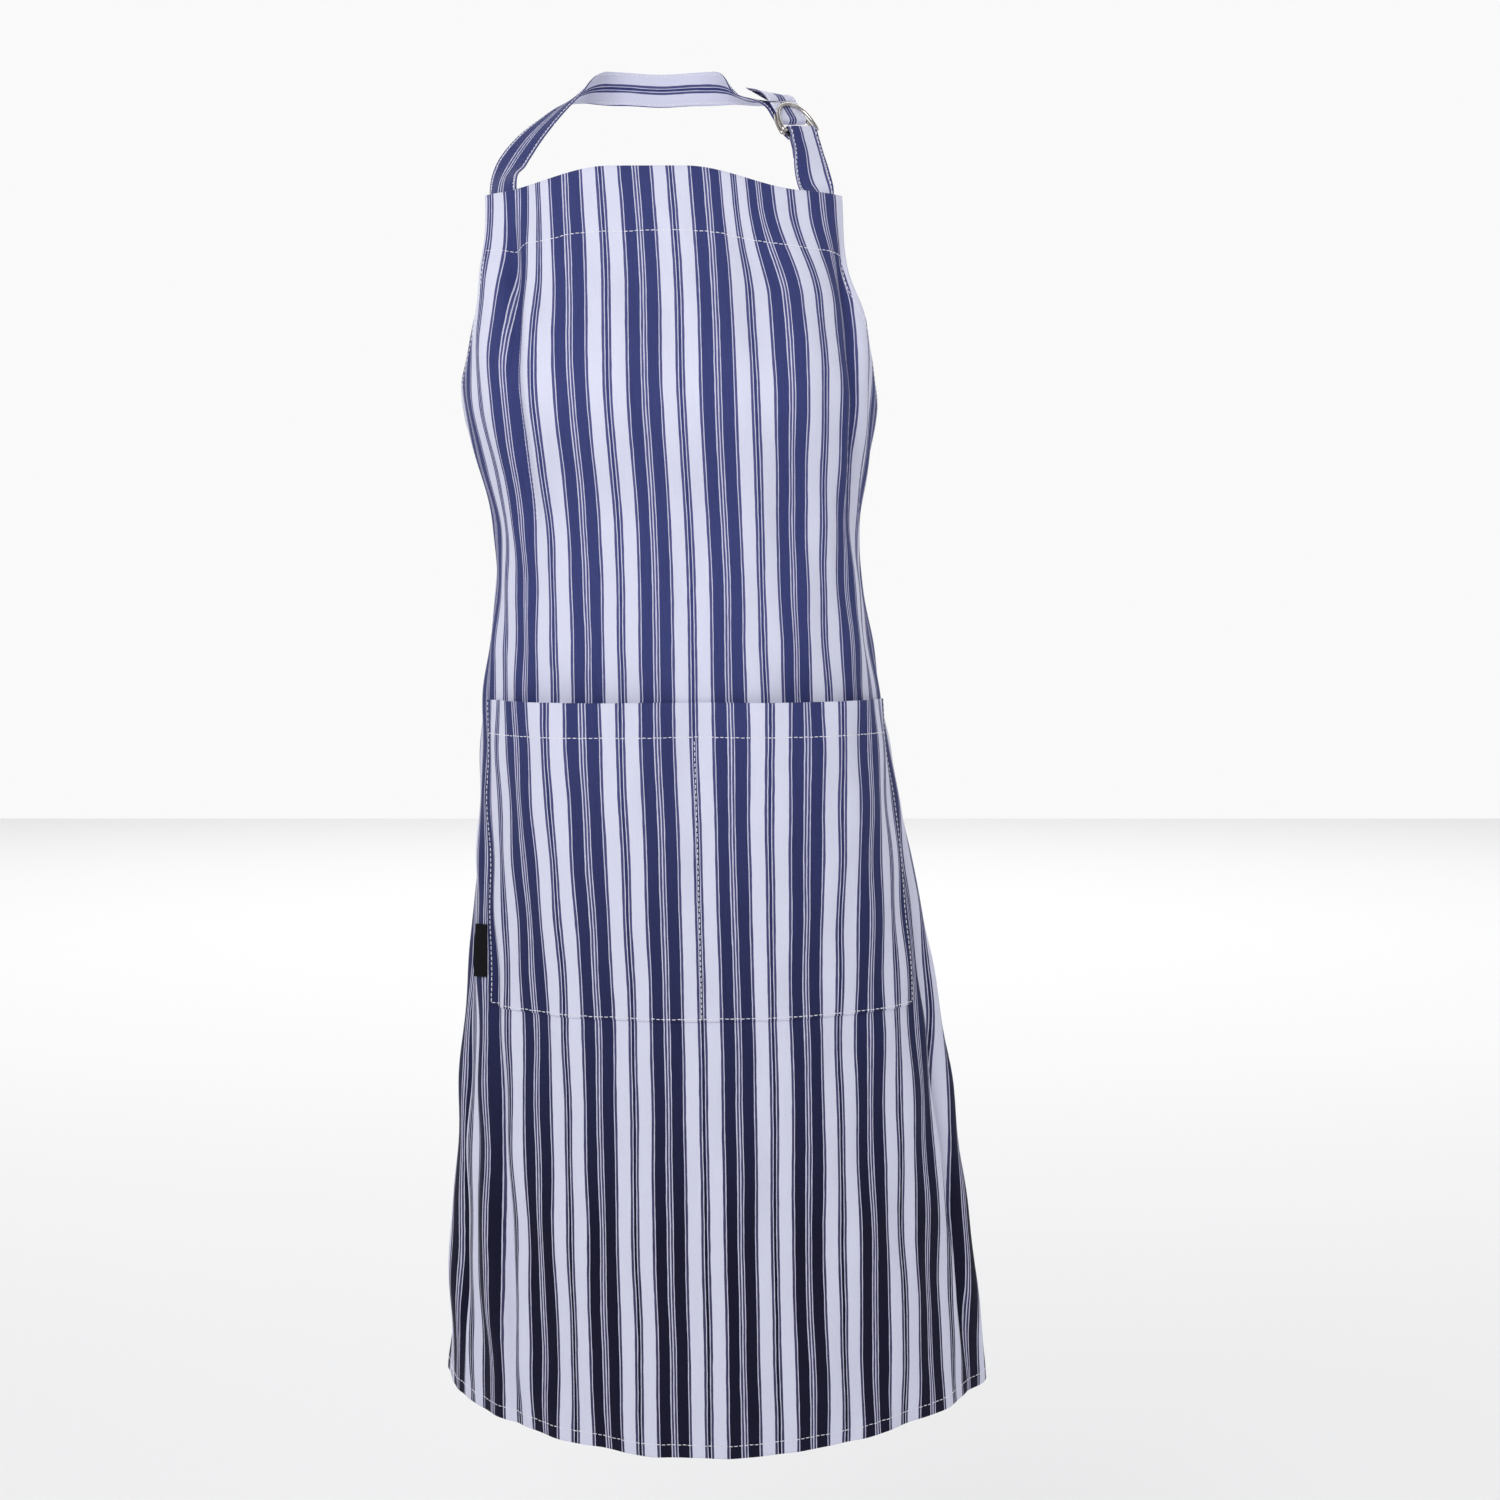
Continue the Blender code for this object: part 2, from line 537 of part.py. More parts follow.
def make_tie(name, sign, knot, cotton):
    """Sewn behind the panel's side, along the body's section and into the knot."""
    knot_side = KNOT_SIZE[0] / 2
    route = [inside(sign * side, TIE_LEVEL, 1, TAPE) for side in np.linspace(TIE_SEWN, TIE_FREE, TIE_STOPS)]
    route = [stop for stop in route if sign * (stop[0][0] - knot[0]) > knot_side + TIE_CLEARANCE]
    end = knot + (sign * (knot_side + GAP), -TIE_DEPTH, 0.0)
    route.append((end, np.array((0.0, 1.0, 0.0))))
    centres, facings = smooth_route(route)
    reach = np.abs(centres[:, 0] - knot[0]) - knot_side
    width = PINCHED + (TAPE_WIDTH - PINCHED) * np.clip(reach / TIE_SPREAD, 0, 1)
    width[: len(width) // 2] = TAPE_WIDTH
    ribbon(name, centres, facings, width, cotton)


def make_bow(name, sign, knot, cotton):
    """Loop of the bow: out from the knot, round and back, drooping to its side."""
    outward = np.array((sign * np.cos(BOW_DROOP), 0.0, -np.sin(BOW_DROOP)))
    across = np.array((sign * np.sin(BOW_DROOP), 0.0, np.cos(BOW_DROOP)))
    stops = [(knot + reach * outward + np.array((0.0, depth, 0.0)), across) for reach, depth in BOW_ROUTE]
    centres = smooth_route(stops, 0.006)[0]
    tangents = np.gradient(centres, axis=0)
    reach = (centres - knot) @ outward
    width = PINCHED + (TAPE_WIDTH - PINCHED) * np.clip((reach - 0.014) / 0.025, 0, 1)
    loop = ribbon(name, centres, np.cross(tangents, across), width, cotton)
    set_origin(loop, Vector(knot))


def make_tail(name, sign, knot, cotton):
    """Free end of a tie, hanging from the knot."""
    stops = [(knot + (sign * across, 0.0015 + 0.004 * min(1.0, -drop / 0.1), drop), (0.15 * sign, 1.0, 0.0))
             for across, drop in TAIL_ROUTE]
    centres, facings = smooth_route(stops, 0.014)
    drop = knot[2] - centres[:, 2]
    width = PINCHED - 0.002 + (TAPE_WIDTH - PINCHED) * np.clip((drop - 0.0135) / 0.035, 0, 1)
    tail = ribbon(name, centres, facings, width, cotton)
    set_origin(tail, Vector(knot - (0, 0, KNOT_SIZE[2] / 2)))


def main():
    clear_scene()
    cotton = material("striped_cotton", (0.45, 0.47, 0.62))
    white = material("white_thread", (0.85, 0.85, 0.88))
    woven = material("label_weave", (0.02, 0.02, 0.03))
    steel = material("nickel_plate", (0.75, 0.74, 0.72), 0.22, 1.0)
    make_panel(cotton, white)
    make_pocket(cotton, white)
    make_label(woven)
    make_neck_strap(cotton)
    make_ring_strap(cotton)
    make_ring("front_d_ring", 1, steel)
    make_ring("back_d_ring", -1, steel)
    make_ties(cotton)


main()
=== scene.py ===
"""Looks of the striped bib apron: cloth with folds, stripes and stitches, tapes, rings and a label.

Metres, +Z up, the front faces -Y. Cloth coordinates are the reach (distance along the cloth from its centre
line) and the level (height at the side edges); stripes, seams and folds are laid out on them. A side is a
reach as a share of the reach of the cloth's edge.
"""

import bpy
import numpy as np
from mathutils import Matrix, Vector


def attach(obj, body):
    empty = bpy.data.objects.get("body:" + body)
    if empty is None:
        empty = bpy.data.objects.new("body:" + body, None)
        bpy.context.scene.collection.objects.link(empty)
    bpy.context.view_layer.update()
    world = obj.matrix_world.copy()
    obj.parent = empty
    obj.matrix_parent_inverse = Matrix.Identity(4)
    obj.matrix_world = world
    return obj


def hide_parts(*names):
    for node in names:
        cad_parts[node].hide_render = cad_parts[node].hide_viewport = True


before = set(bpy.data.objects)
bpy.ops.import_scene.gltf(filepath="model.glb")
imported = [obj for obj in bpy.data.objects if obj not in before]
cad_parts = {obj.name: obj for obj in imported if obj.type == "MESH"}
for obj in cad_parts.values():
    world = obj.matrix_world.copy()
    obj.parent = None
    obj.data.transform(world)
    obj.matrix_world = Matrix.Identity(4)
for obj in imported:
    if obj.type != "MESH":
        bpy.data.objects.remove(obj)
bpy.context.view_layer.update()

# ---- cloth, tape and thread, as cut ----
CLOTH = 0.0008
TAPE = 0.0012
TAPE_WIDTH = 0.0240
GAP = 0.00035
LAYER = CLOTH + GAP
HALF_WIDTH = 0.320
BIB_HALF_WIDTH = 0.130
SIDE_HEM = 0.010
POCKET_HALF_WIDTH = 0.164
POCKET_SHIFT = 0.0053
POCKET_GAPE = 0.014
SEAM = 0.002              # from the pocket's edge to the thread that sews it on
HEM_SEAM = 0.0015         # from a turned hem's inner edge to its thread
EDGE_SEAM = 0.004         # the same at the side hems, outwards from their inner edge, as a side
STITCH = 0.0029           # length of one stitch, and from one to the next
STITCH_STEP = 0.0036
STITCH_WIDTH = 0.0006
STITCH_FIRST = 0.1        # where the first stitch starts, as a share of its step
STITCH_SLANT = 0.00012
STITCH_CORNERS = 6
# Stations of a stitch: place along it, share of its width, and height over the cloth's face.
STITCH_SHAPE = [(0.0, 0.30, -0.00030), (0.10, 0.85, 0.00002), (0.50, 1.0, 0.00012), (0.90, 0.85, 0.00002),
                (1.0, 0.30, -0.00030)]
TAPE_SEAM = 0.0018        # from a tape's edge to its thread
SEAM_PRESS = 0.25         # share of a tape's thickness that its thread presses away
PLEAT = 0.0016            # height of the pleats where a tape is fully gathered
RIM = 0.35                # share of a sheet's thickness that is left at its rim

# ---- mesh steps, along the rows and columns of the sheets ----
PANEL_COLUMN = 0.0078
PANEL_ROW = 0.0033
FACING_ROW = 0.0029
HEM_ROW = 0.0026
SIDE_HEM_COLUMN = 0.0080
BOTTOM_COLUMN = 0.0110
POCKET_COLUMN = 0.0085
POCKET_ROW = 0.0030
LABEL_COLUMN = 0.0025
LABEL_ROW = 0.0012
TAPE_STEP = 0.0030
# Across a tape, as a fraction of its half width: close lanes at the rounded edges.
LANES = np.array([-1.0, -0.975, -0.93, -0.85, -0.72, -0.54, -0.36, -0.18, 0.0,
                  0.18, 0.36, 0.54, 0.72, 0.85, 0.93, 0.975, 1.0])

# ---- levels ----
TOP = -0.100
FACING_END = -0.1435
WAIST = -0.325
POCKET_TOP = -0.447
POCKET_HEM = -0.472
POCKET_BOTTOM = -0.665
HEM_LINE = -0.9595
BOTTOM = -0.970
TOP_ARCH = 0.014          # the top edge rises to this height between the straps
ARCH_MIDDLE = -0.08       # side of the arch's middle, half width of its flat top, and half width of its foot
ARCH_TOP = 0.20
ARCH_FOOT = 0.80
HEM_LIFT = 0.0225
HEM_TURN = 0.90
BOTTOM_SEAM = POCKET_BOTTOM + SEAM

# ---- body stations: level, middle x, half width, front y, half depth, squareness, cloth drift ----
STATIONS = np.array([
    (-1.000, 0.043, 0.204, -0.149, 0.142, 2.0, 0.009),
    (-0.860, 0.039, 0.193, -0.151, 0.134, 2.1, 0.008),
    (-0.665, 0.031, 0.169, -0.157, 0.118, 2.3, 0.003),
    (-0.447, 0.018, 0.141, -0.165, 0.101, 2.4, -0.0045),
    (-0.325, 0.015, 0.128, -0.172, 0.096, 2.5, -0.0045),
    (-0.240, 0.010, 0.142, -0.205, 0.108, 2.9, -0.0055),
    (-0.160, 0.008, 0.141, -0.172, 0.098, 2.8, -0.004),
    (-0.080, 0.005, 0.139, -0.139, 0.090, 2.9, 0.000),
])

# ---- sides, from -1 at the panel's left edge to 1 at its right edge ----
SIDE_LINE = 1 - SIDE_HEM / HALF_WIDTH
POCKET_LEFT = (POCKET_SHIFT - POCKET_HALF_WIDTH) / HALF_WIDTH
POCKET_RIGHT = (POCKET_SHIFT + POCKET_HALF_WIDTH) / HALF_WIDTH
DIVIDER = POCKET_SHIFT / HALF_WIDTH
LEFT_SEAM = POCKET_LEFT + SEAM / HALF_WIDTH
RIGHT_SEAM = POCKET_RIGHT - SEAM / HALF_WIDTH
STRAP_SIDE = 0.904
STRAP_SEWN = -0.128
SEWN_DEPTH = 0.0008
SEWN_CROWN = 0.0028
CROWN_FADE = 0.03         # height over which the strap becomes flat
NAPE_HALF_WIDTH = 0.05

# ---- folds ----
# Skirt: reach at the waist, lean to the side over the skirt's height, width, height of the fold.
SKIRT_FOLDS = [(-0.163, 0.022, 0.0055, -0.0068), (-0.178, 0.018, 0.0080, 0.0040),
               (-0.202, 0.000, 0.0060, -0.0066), (-0.222, 0.000, 0.0090, 0.0030),
               (-0.262, 0.005, 0.0150, -0.0060), (0.158, 0.062, 0.0060, -0.0070),
               (0.176, 0.062, 0.0085, 0.0040), (0.196, 0.062, 0.0065, -0.0066),
               (0.232, 0.040, 0.0100, -0.0055), (0.288, 0.000, 0.0150, -0.0050)]
# Bib: reach at the top edge, lean, width, height.
BIB_FOLDS = [(-0.109, 0.03, 0.0060, -0.0066), (-0.095, 0.03, 0.0080, 0.0036), (-0.127, 0.00, 0.0100, 0.0020),
             (0.128, 0.02, 0.0070, -0.0050), (0.142, 0.03, 0.0070, 0.0025), (0.052, 0.10, 0.0120, -0.0020)]
# Fullness of the bib's front: reach and width of each swell; their level, its width and their height.
SWELLS = [(-0.066, 0.042), (0.078, 0.042)]
SWELL_LEVEL, SWELL_SPAN, SWELL_HEIGHT = -0.238, 0.050, 0.0045
# Wave length, direction and height of the small unevenness of cloth that has been worn.
WAVES = [(0.110, 0.35, 0.0010), (0.074, -0.60, 0.0007), (0.052, 0.95, 0.0004), (0.039, 0.15, 0.0003)]
# Where the cloth was drawn aside before it was sewn: reach and width of the pull, its size, and its levels.
GRAIN_PULLS = [(0.050, 0.020, 0.0135, -0.115, -0.180), (-0.088, 0.012, 0.0135, -0.100, -0.230)]
PUCKER = 0.00035
PUCKER_SPAN = 0.006       # the ripples fade out this far from their seam

# ---- neck strap: points from the left corner round the nape towards the rings, and the way it faces ----
STRAP_ROUTE = [
    ((-0.1015, -0.0900, -0.0740), (-0.35, -1.00, 0.45)),
    ((-0.0905, -0.0725, -0.0520), (-0.38, -0.85, 0.80)),
    ((-0.0780, -0.0580, -0.0345), (-0.40, -0.50, 1.00)),
    ((-0.0635, -0.0420, -0.0175), (-0.50, -0.22, 1.00)),
    ((-0.0500, -0.0240, -0.0050), (-0.90, 0.10, 0.60)),
    ((-0.0290, -0.0055, 0.000), (-0.60, 0.80, 0.05)),
    ((0.0000, 0.0006, 0.000), (0.00, 1.00, 0.00)),
    ((0.0290, -0.0055, 0.000), (0.60, 0.80, 0.05)),
    ((0.0490, -0.0240, -0.005), (1.00, 0.10, 0.45)),
    ((0.0620, -0.0420, -0.016), (0.55, -0.22, 1.00)),
]

# ---- the two D-rings, in a frame on the bars that the ring strap holds ----
WIRE = 0.0026
WIRE_CORNERS = 16
RING_HALF_WIDTH = 0.0148
RING_HEIGHT = 0.0235
RING_SQUARENESS = 2.3
RING_HEEL = 0.0011
BAR_SPACING = 0.0030
RING_SPLAY = np.radians(2.5)
RING_CENTRE = np.array((0.1010, -0.0880, -0.0497))
TOWARDS_NECK = np.array((-0.414, 0.402, 0.807)) / np.linalg.norm((-0.414, 0.402, 0.807))
ALONG_BAR = np.array((0.81, 0.575, 0.137))
ALONG_BAR = ALONG_BAR - ALONG_BAR.dot(TOWARDS_NECK) * TOWARDS_NECK
ALONG_BAR = ALONG_BAR / np.linalg.norm(ALONG_BAR)
OUTWARD = np.cross(ALONG_BAR, TOWARDS_NECK)
INCOMING = -0.0048
TURN_RADIUS = 0.0024
TURN_AT = 0.0130
RETURN_END = 0.0280
LOOP_RADIUS = 0.0023      # ring strap round each bar
LOOP_SHOULDER = (0.0040, 0.0012)   # below the bars and beside them, where the loop's legs draw together
LOOP_STITCH = 0.0080      # closing stitch, below the bars
LOOP_LEG = 0.0009         # half the spacing of the loop's two legs at the stitch
LOOP_FOOT = 0.0176        # below the bars, where the folded strap leaves the loop for the bib
LOOP_OVERLAP = 6          # stations of the strap that its turned end lies beside
FOOT_SHIFT = (-0.0022, 0.0, 0.0)
RING_STRAP_SIDE = 0.872   # the ring strap is sewn a little further in than the neck strap
RING_STRAP_STOP = ((0.1112, -0.1165, -0.0915), (0.05, -0.95, 0.30))   # above the bib's corner
NEAR_RINGS = (0.0255, 0.0180)   # stops of the neck strap under the bows, from the bars
TAIL_BEND = 0.0315        # from the bars, where the loose end bends towards the neck
TAIL_SHARE = 0.7          # the loose end reaches this share of the way to the strap's last stop
TAIL_LIFT = 0.0038

# ---- the ties behind the waist ----
TIE_LEVEL = WAIST - TAPE_WIDTH / 2
TIE_SEWN = 0.93           # where on the panel's side the tie's sewn end starts
TIE_FREE = 1.145          # past the panel's side, where the tie leaves the body's section for the knot
TIE_STOPS = 15
TIE_CLEARANCE = 0.002
TIE_DEPTH = 0.0045        # the ties enter the knot nearer the body than its middle
# Lengths beyond the knot over which a tape spreads to its full width, and over which its pleats fade.
TIE_SPREAD, TIE_GATHER = 0.020, 0.030
BOW_SPREAD, BOW_GATHER = 0.025, 0.030
END_SPREAD, END_GATHER = 0.035, 0.050
KNOT_SIZE = (0.026, 0.017, 0.025)
KNOT_STANDOFF = 0.0065
PINCHED = 0.014
BOW_DROOP = np.radians(24)
BOW_ROUTE = [(0.0140, -0.0005), (0.036, -0.0015), (0.066, 0.0000), (0.089, 0.0030), (0.097, 0.0085),
             (0.089, 0.0145), (0.066, 0.0165), (0.036, 0.0120), (0.0140, 0.0050)]
TAIL_ROUTE = [(0.0075, -0.0135), (0.0120, -0.060), (0.0210, -0.125), (0.0320, -0.200), (0.0430, -0.275),
              (0.0510, -0.350)]

# ---- woven label in the pocket's left seam ----
LABEL_TOP = -0.607
LABEL_HEIGHT = 0.038
LABEL_WIDTH = 0.0080
LABEL_LIFT = 0.0030
LABEL_GAP = 3 * GAP       # between the pocket's edge and the label's root, so that it can swing
LABEL_BULGE = 0.0006

# ---- stripes: shade and width in millimetres through one repeat, from the wide group's left edge ----
NAVY, LINE, PIN, WHITE = 1.0, 0.88, 0.08, 0.0
WIDE_STRIPES = [(LINE, 1.5), (PIN, 0.65), (NAVY, 7.5), (PIN, 0.65), (LINE, 1.3), (PIN, 0.8), (LINE, 1.3),
                (PIN, 0.65), (NAVY, 7.5), (PIN, 0.65), (LINE, 1.5)]
NARROW_STRIPES = [(LINE, 1.6), (PIN, 0.6), (NAVY, 1.8), (PIN, 0.6), (LINE, 1.6)]
STRIPES = [*WIDE_STRIPES, (WHITE, 8.8), *NARROW_STRIPES, (WHITE, 8.8)]
REPEAT = sum(width for _, width in STRIPES) / 1000
WIDE_GROUP = sum(width for _, width in WIDE_STRIPES) / 1000
STRIPE_MIDDLE = -0.0185   # reach of the middle of a wide group on the panel
STRAP_PHASE = STRIPE_MIDDLE           # a wide group runs along the middle of the long strap and the ties
RING_STRAP_PHASE = STRIPE_MIDDLE + 0.0135
# Painted light and shade: the navy's colour is painted lighter at the bib and darker towards the hem, between
# these levels.
PAINTED_LIGHT_FROM = -0.820
PAINTED_LIGHT_TO = -0.400
WARP_PITCH = 0.00042      # between the middles of neighbouring threads
WEFT_PITCH = 0.00048

# ---- studio ----
CAMERA = (0.066, -1.66, -0.412)
PITCH = np.radians(2.577)
SENSOR = 36.0
LENS = 53.328
FLOOR = -1.45             # the nape is this far above the floor when the apron is worn
FLOOR_SIZE = 12.0
# Name, place, target, size, power and colour of each area light.
LIGHTS = [
    ("key", (-0.45, -1.50, 0.22), (0.0, -0.1, -0.30), (1.0, 0.8), 15, (1.0, 1.0, 1.0)),
    ("fill", (1.5, -1.5, -0.1), (0.0, 0.0, -0.4), (1.2, 1.6), 4, (0.97, 0.98, 1.0)),
    ("floor_light", (0.0, 7.0, 4.0), (0.0, 7.0, FLOOR), (14.0, 11.0), 450, (1.0, 1.0, 1.0)),
]


# ======== lines and vectors ========

def unit(vectors):
    return vectors / np.linalg.norm(vectors, axis=-1, keepdims=True)


def distances(points):
    """Distance along a line of points from the first one to each."""
    return np.concatenate(([0.0], np.cumsum(np.linalg.norm(np.diff(points, axis=0), axis=1))))


def sampled(at, place, values):
    """Straight interpolation of 3-D values that are given at some places."""
    return np.stack([np.interp(at, place, values[:, k]) for k in range(3)], axis=-1)


def eased(value, places, values):
    """Smooth curve through the given values, one cubic between each two places."""
    slopes = np.gradient(values, places)
    k = np.clip(np.searchsorted(places, value) - 1, 0, len(places) - 2)
    span = places[k + 1] - places[k]
    t = np.clip((value - places[k]) / span, 0.0, 1.0)
    start = (2 * t**3 - 3 * t**2 + 1) * values[k] + (t**3 - 2 * t**2 + t) * span * slopes[k]
    end = (3 * t**2 - 2 * t**3) * values[k + 1] + (t**3 - t**2) * span * slopes[k + 1]
    return start + end


# ======== the cloth's surface ========

def edge_reach(level):
    """Reach of the panel's side edge: armhole curve above the waist, then straight."""
    t = np.clip((TOP - level) / (TOP - WAIST), 0.0, 1.0)
    return BIB_HALF_WIDTH + (HALF_WIDTH - BIB_HALF_WIDTH) * t**2.6


def section(level, reach):
    """Points of the body's section at one level, for an array of reaches."""
    middle, half_width, front, half_depth, squareness, drift = (
        eased(level, STATIONS[:, 0], STATIONS[:, i]) for i in range(1, STATIONS.shape[1]))
    angle = np.linspace(-np.pi, np.pi, 1441)
    x = half_width * np.sign(np.sin(angle)) * np.abs(np.sin(angle)) ** (2 / squareness)
    y = half_depth * np.sign(np.cos(angle)) * np.abs(np.cos(angle)) ** (2 / squareness)
    length = np.concatenate(([0.0], np.cumsum(np.hypot(np.diff(x), np.diff(y)))))
    length -= length[len(length) // 2]
    placed = reach - drift
    return middle + np.interp(placed, length, x), front + half_depth - np.interp(placed, length, y)


def rise(value, start, end):
    """Smooth step from 0 at the start to 1 at the end."""
    t = np.clip((value - start) / (end - start), 0.0, 1.0)
    return t * t * (3 - 2 * t)


def arch_share(side):
    """Height of the top edge's arch between the two straps, as a share of its middle height."""
    return 1 - rise(np.abs(side - ARCH_MIDDLE), ARCH_TOP, ARCH_FOOT)


def smooth_point(side, level):
    """Unfolded cloth at grids of sides and levels, one level to each row."""
    x, y = np.empty_like(side), np.empty_like(side)
    for row, height in enumerate(level[:, 0]):
        x[row], y[row] = section(height, side[row] * edge_reach(height))
    arch = TOP_ARCH * arch_share(side) * np.clip((level - WAIST) / (TOP - WAIST), 0, 1) ** 2
    fallen = np.clip((WAIST - level) / (WAIST - BOTTOM), 0, 1)
    lift = HEM_LIFT * rise(np.abs(side), 0.0, HEM_TURN) * fallen**2
    return np.stack((x, y, level + arch + lift), axis=-1)


def smooth_normal(side, level):
    step = 0.004
    across = smooth_point(side + step, level) - smooth_point(side - step, level)
    upward = smooth_point(side, level + step) - smooth_point(side, level - step)
    return unit(np.cross(across, upward))


def hill(value, centre, width):
    return np.exp(-(((value - centre) / width) ** 2))


def folds(side, level):
    """How far the cloth stands out from the plain body shape."""
    reach = side * edge_reach(level)
    fallen = np.clip((WAIST - level) / (WAIST - BOTTOM), 0, 1)
    dropped = TOP - level
    out = SWELL_HEIGHT * hill(level, SWELL_LEVEL, SWELL_SPAN) * sum(hill(reach, *swell) for swell in SWELLS)
    on_bib = rise(dropped, 0.0, 0.06) * rise(level, WAIST - 0.03, WAIST + 0.05)
    for centre, lean, width, height in BIB_FOLDS:
        out += on_bib * height * hill(reach, centre + lean * dropped, width)
    on_skirt = rise(fallen, 0.15, 0.75) * (1 - 0.8 * rise(fallen, 0.88, 1.0))
    for centre, lean, width, height in SKIRT_FOLDS:
        out += on_skirt * height * hill(reach, centre + lean * fallen, width)
    calm = np.clip(dropped / 0.05, 0, 1)
    for number, (length, turn, height) in enumerate(WAVES):
        along = reach * np.cos(turn) * 1.6 + level * np.sin(turn)
        shift = 2.1 * number + 3.0 * np.sin(7 * level + number)
        out += calm * height * np.sin(2 * np.pi * along / length + shift)
    return out


def pucker(side, level):
    """Short ripples where thread draws the cloth in, along the hem, facing and pocket seams."""
    reach = side * edge_reach(level)
    beside_pocket = (side > POCKET_LEFT - 0.02) & (side < POCKET_RIGHT + 0.02)
    drawn = hill(level, HEM_LINE, PUCKER_SPAN) + 0.7 * hill(level, FACING_END, PUCKER_SPAN)
    drawn = drawn + beside_pocket * 0.7 * hill(level, BOTTOM_SEAM, PUCKER_SPAN)
    ripple = np.sin(2 * np.pi * reach / 0.0125 + 2.0 * np.sin(reach / 0.021)) * np.sin(reach / 0.033 + 1)
    return PUCKER * drawn * ripple


def cloth(sides, levels, offset):
    """Middle and normal of a cloth layer at an offset from the panel, on a grid of sides and levels."""
    side = np.tile(np.asarray(sides, float), (len(levels), 1))
    level = np.tile(np.asarray(levels, float)[:, None], (1, len(sides)))
    normal = smooth_normal(side, level)
    out = folds(side, level) + pucker(side, level) + offset(side, level)
    return smooth_point(side, level) + normal * out[..., None], normal


def woven_reach(side, level):
    """Place across the stripes; the grain runs askew below the bib's two corners."""
    reach = side * edge_reach(level)
    woven = reach.copy()
    for centre, width, size, upper, lower in GRAIN_PULLS:
        turned = np.sign(centre) * (reach - centre)
        woven += np.sign(centre) * size * rise(turned, -width, width) * rise(level, lower, upper)
    return woven


def on_panel(side, level):
    return 0.0 * side


def behind_panel(side, level):
    return 0.0 * side - LAYER


def pocket_offset(side, level):
    """The pocket lies on the panel at its seams and stands open towards its top, in two bays."""
    raised = np.clip((level - BOTTOM_SEAM) / (POCKET_TOP - BOTTOM_SEAM), 0, 1)
    left_bay = (side - LEFT_SEAM) / (DIVIDER - LEFT_SEAM)
    right_bay = (side - DIVIDER) / (RIGHT_SEAM - DIVIDER)
    belly = np.sin(np.pi * np.clip(np.where(side > DIVIDER, right_bay, left_bay), 0, 1)) ** 1.3
    room_for_hem = LAYER * np.clip(raised / 0.85, 0, 1)
    return LAYER + room_for_hem + POCKET_GAPE * belly * np.sin(np.pi / 2 * raised) ** 1.2


def behind_pocket(side, level):
    return pocket_offset(side, level) - LAYER


def inside(side, level, layers, thickness):
    """Middle of a tape that lies behind the panel and other layers, and the way it faces."""
    middle, normal = cloth([side], [level], on_panel)
    depth = CLOTH / 2 + layers * LAYER + GAP + thickness / 2
    return middle[0, 0] - normal[0, 0] * depth, normal[0, 0]


# ======== meshes ========

def build(name, points, faces, uvs=None):
    """Smooth mesh object; uvs gives the place on the woven cloth of each vertex, in metres."""
    mesh = bpy.data.meshes.new(name)
    mesh.from_pydata(np.reshape(points, (-1, 3)).tolist(), [], [list(face) for face in faces])
    if uvs is not None:
        corners = np.empty(len(mesh.loops), dtype=np.int64)
        mesh.loops.foreach_get("vertex_index", corners)
        flat = np.reshape(uvs, (-1, 2))[corners].astype(np.float32)
        mesh.uv_layers.new(name="weave").data.foreach_set("uv", flat.ravel())
    mesh.shade_smooth()
    mesh.update()
    made = bpy.data.objects.new(name, mesh)
    bpy.context.scene.collection.objects.link(made)
    return made


def grid_faces(rows, columns, wrap=False):
    """Quads over a grid of vertices; wrap joins the last column to the first."""
    index = np.arange(rows * columns).reshape(rows, columns)
    if wrap:
        index = np.hstack((index, index[:, :1]))
    return np.stack((index[:-1, :-1], index[:-1, 1:], index[1:, 1:], index[1:, :-1]), axis=-1).reshape(-1, 4)


def shell(name, middle, normals, thickness, uvs, back_uvs=None):
    """Closed sheet about a grid of middle points; the thickness and the weave behind it may differ."""
    rows, columns = middle.shape[:2]
    half = np.broadcast_to(thickness, (rows, columns))[..., None] / 2
    points = np.stack((middle + normals * half, middle - normals * half))
    quads = grid_faces(rows, columns)
    back = rows * columns
    index = np.arange(back).reshape(rows, columns)
    rim = np.concatenate((index[0, :-1], index[:-1, -1], index[-1, :0:-1], index[:0:-1, 0]))
    following = np.roll(rim, -1)
    wall = np.stack((following, rim, rim + back, following + back), axis=-1)
    faces = np.concatenate((quads, quads[:, ::-1] + back, wall))
    turn = np.cross(middle[0, 1] - middle[0, 0], middle[1, 0] - middle[0, 0])
    if np.dot(turn, normals[0, 0]) < 0:
        faces = faces[:, ::-1]
    back_uvs = uvs if back_uvs is None else back_uvs
    return build(name, points, faces, np.concatenate((uvs.reshape(-1, 2), back_uvs.reshape(-1, 2))))


def spread(low, high, step):
    """Even values from low to high, about a step apart, with one close to each end for a round edge."""
    inset = np.sign(high - low) * 0.12 * step
    inner = np.linspace(low, high, max(2, int(round(abs(high - low) / step)) + 1))
    return np.concatenate(([low, low + inset], inner[1:-1], [high - inset, high]))


def rounded(rows, columns):
    """Thickness factor that thins a sheet at its rim, so that its edge shades as a rounded fold."""
    factor = np.ones((rows, columns))
    factor[[0, -1], :] = RIM
    factor[:, [0, -1]] = RIM
    return factor


def layer(name, sides, levels, offset):
    """Layer of the apron's striped cloth."""
    middle, normals = cloth(sides, levels, offset)
    side, level = np.meshgrid(sides, levels)
    uvs = np.stack((woven_reach(side, level), level), axis=-1)
    return shell(name, middle, normals, CLOTH * rounded(*side.shape), uvs)


# ======== stitches ========

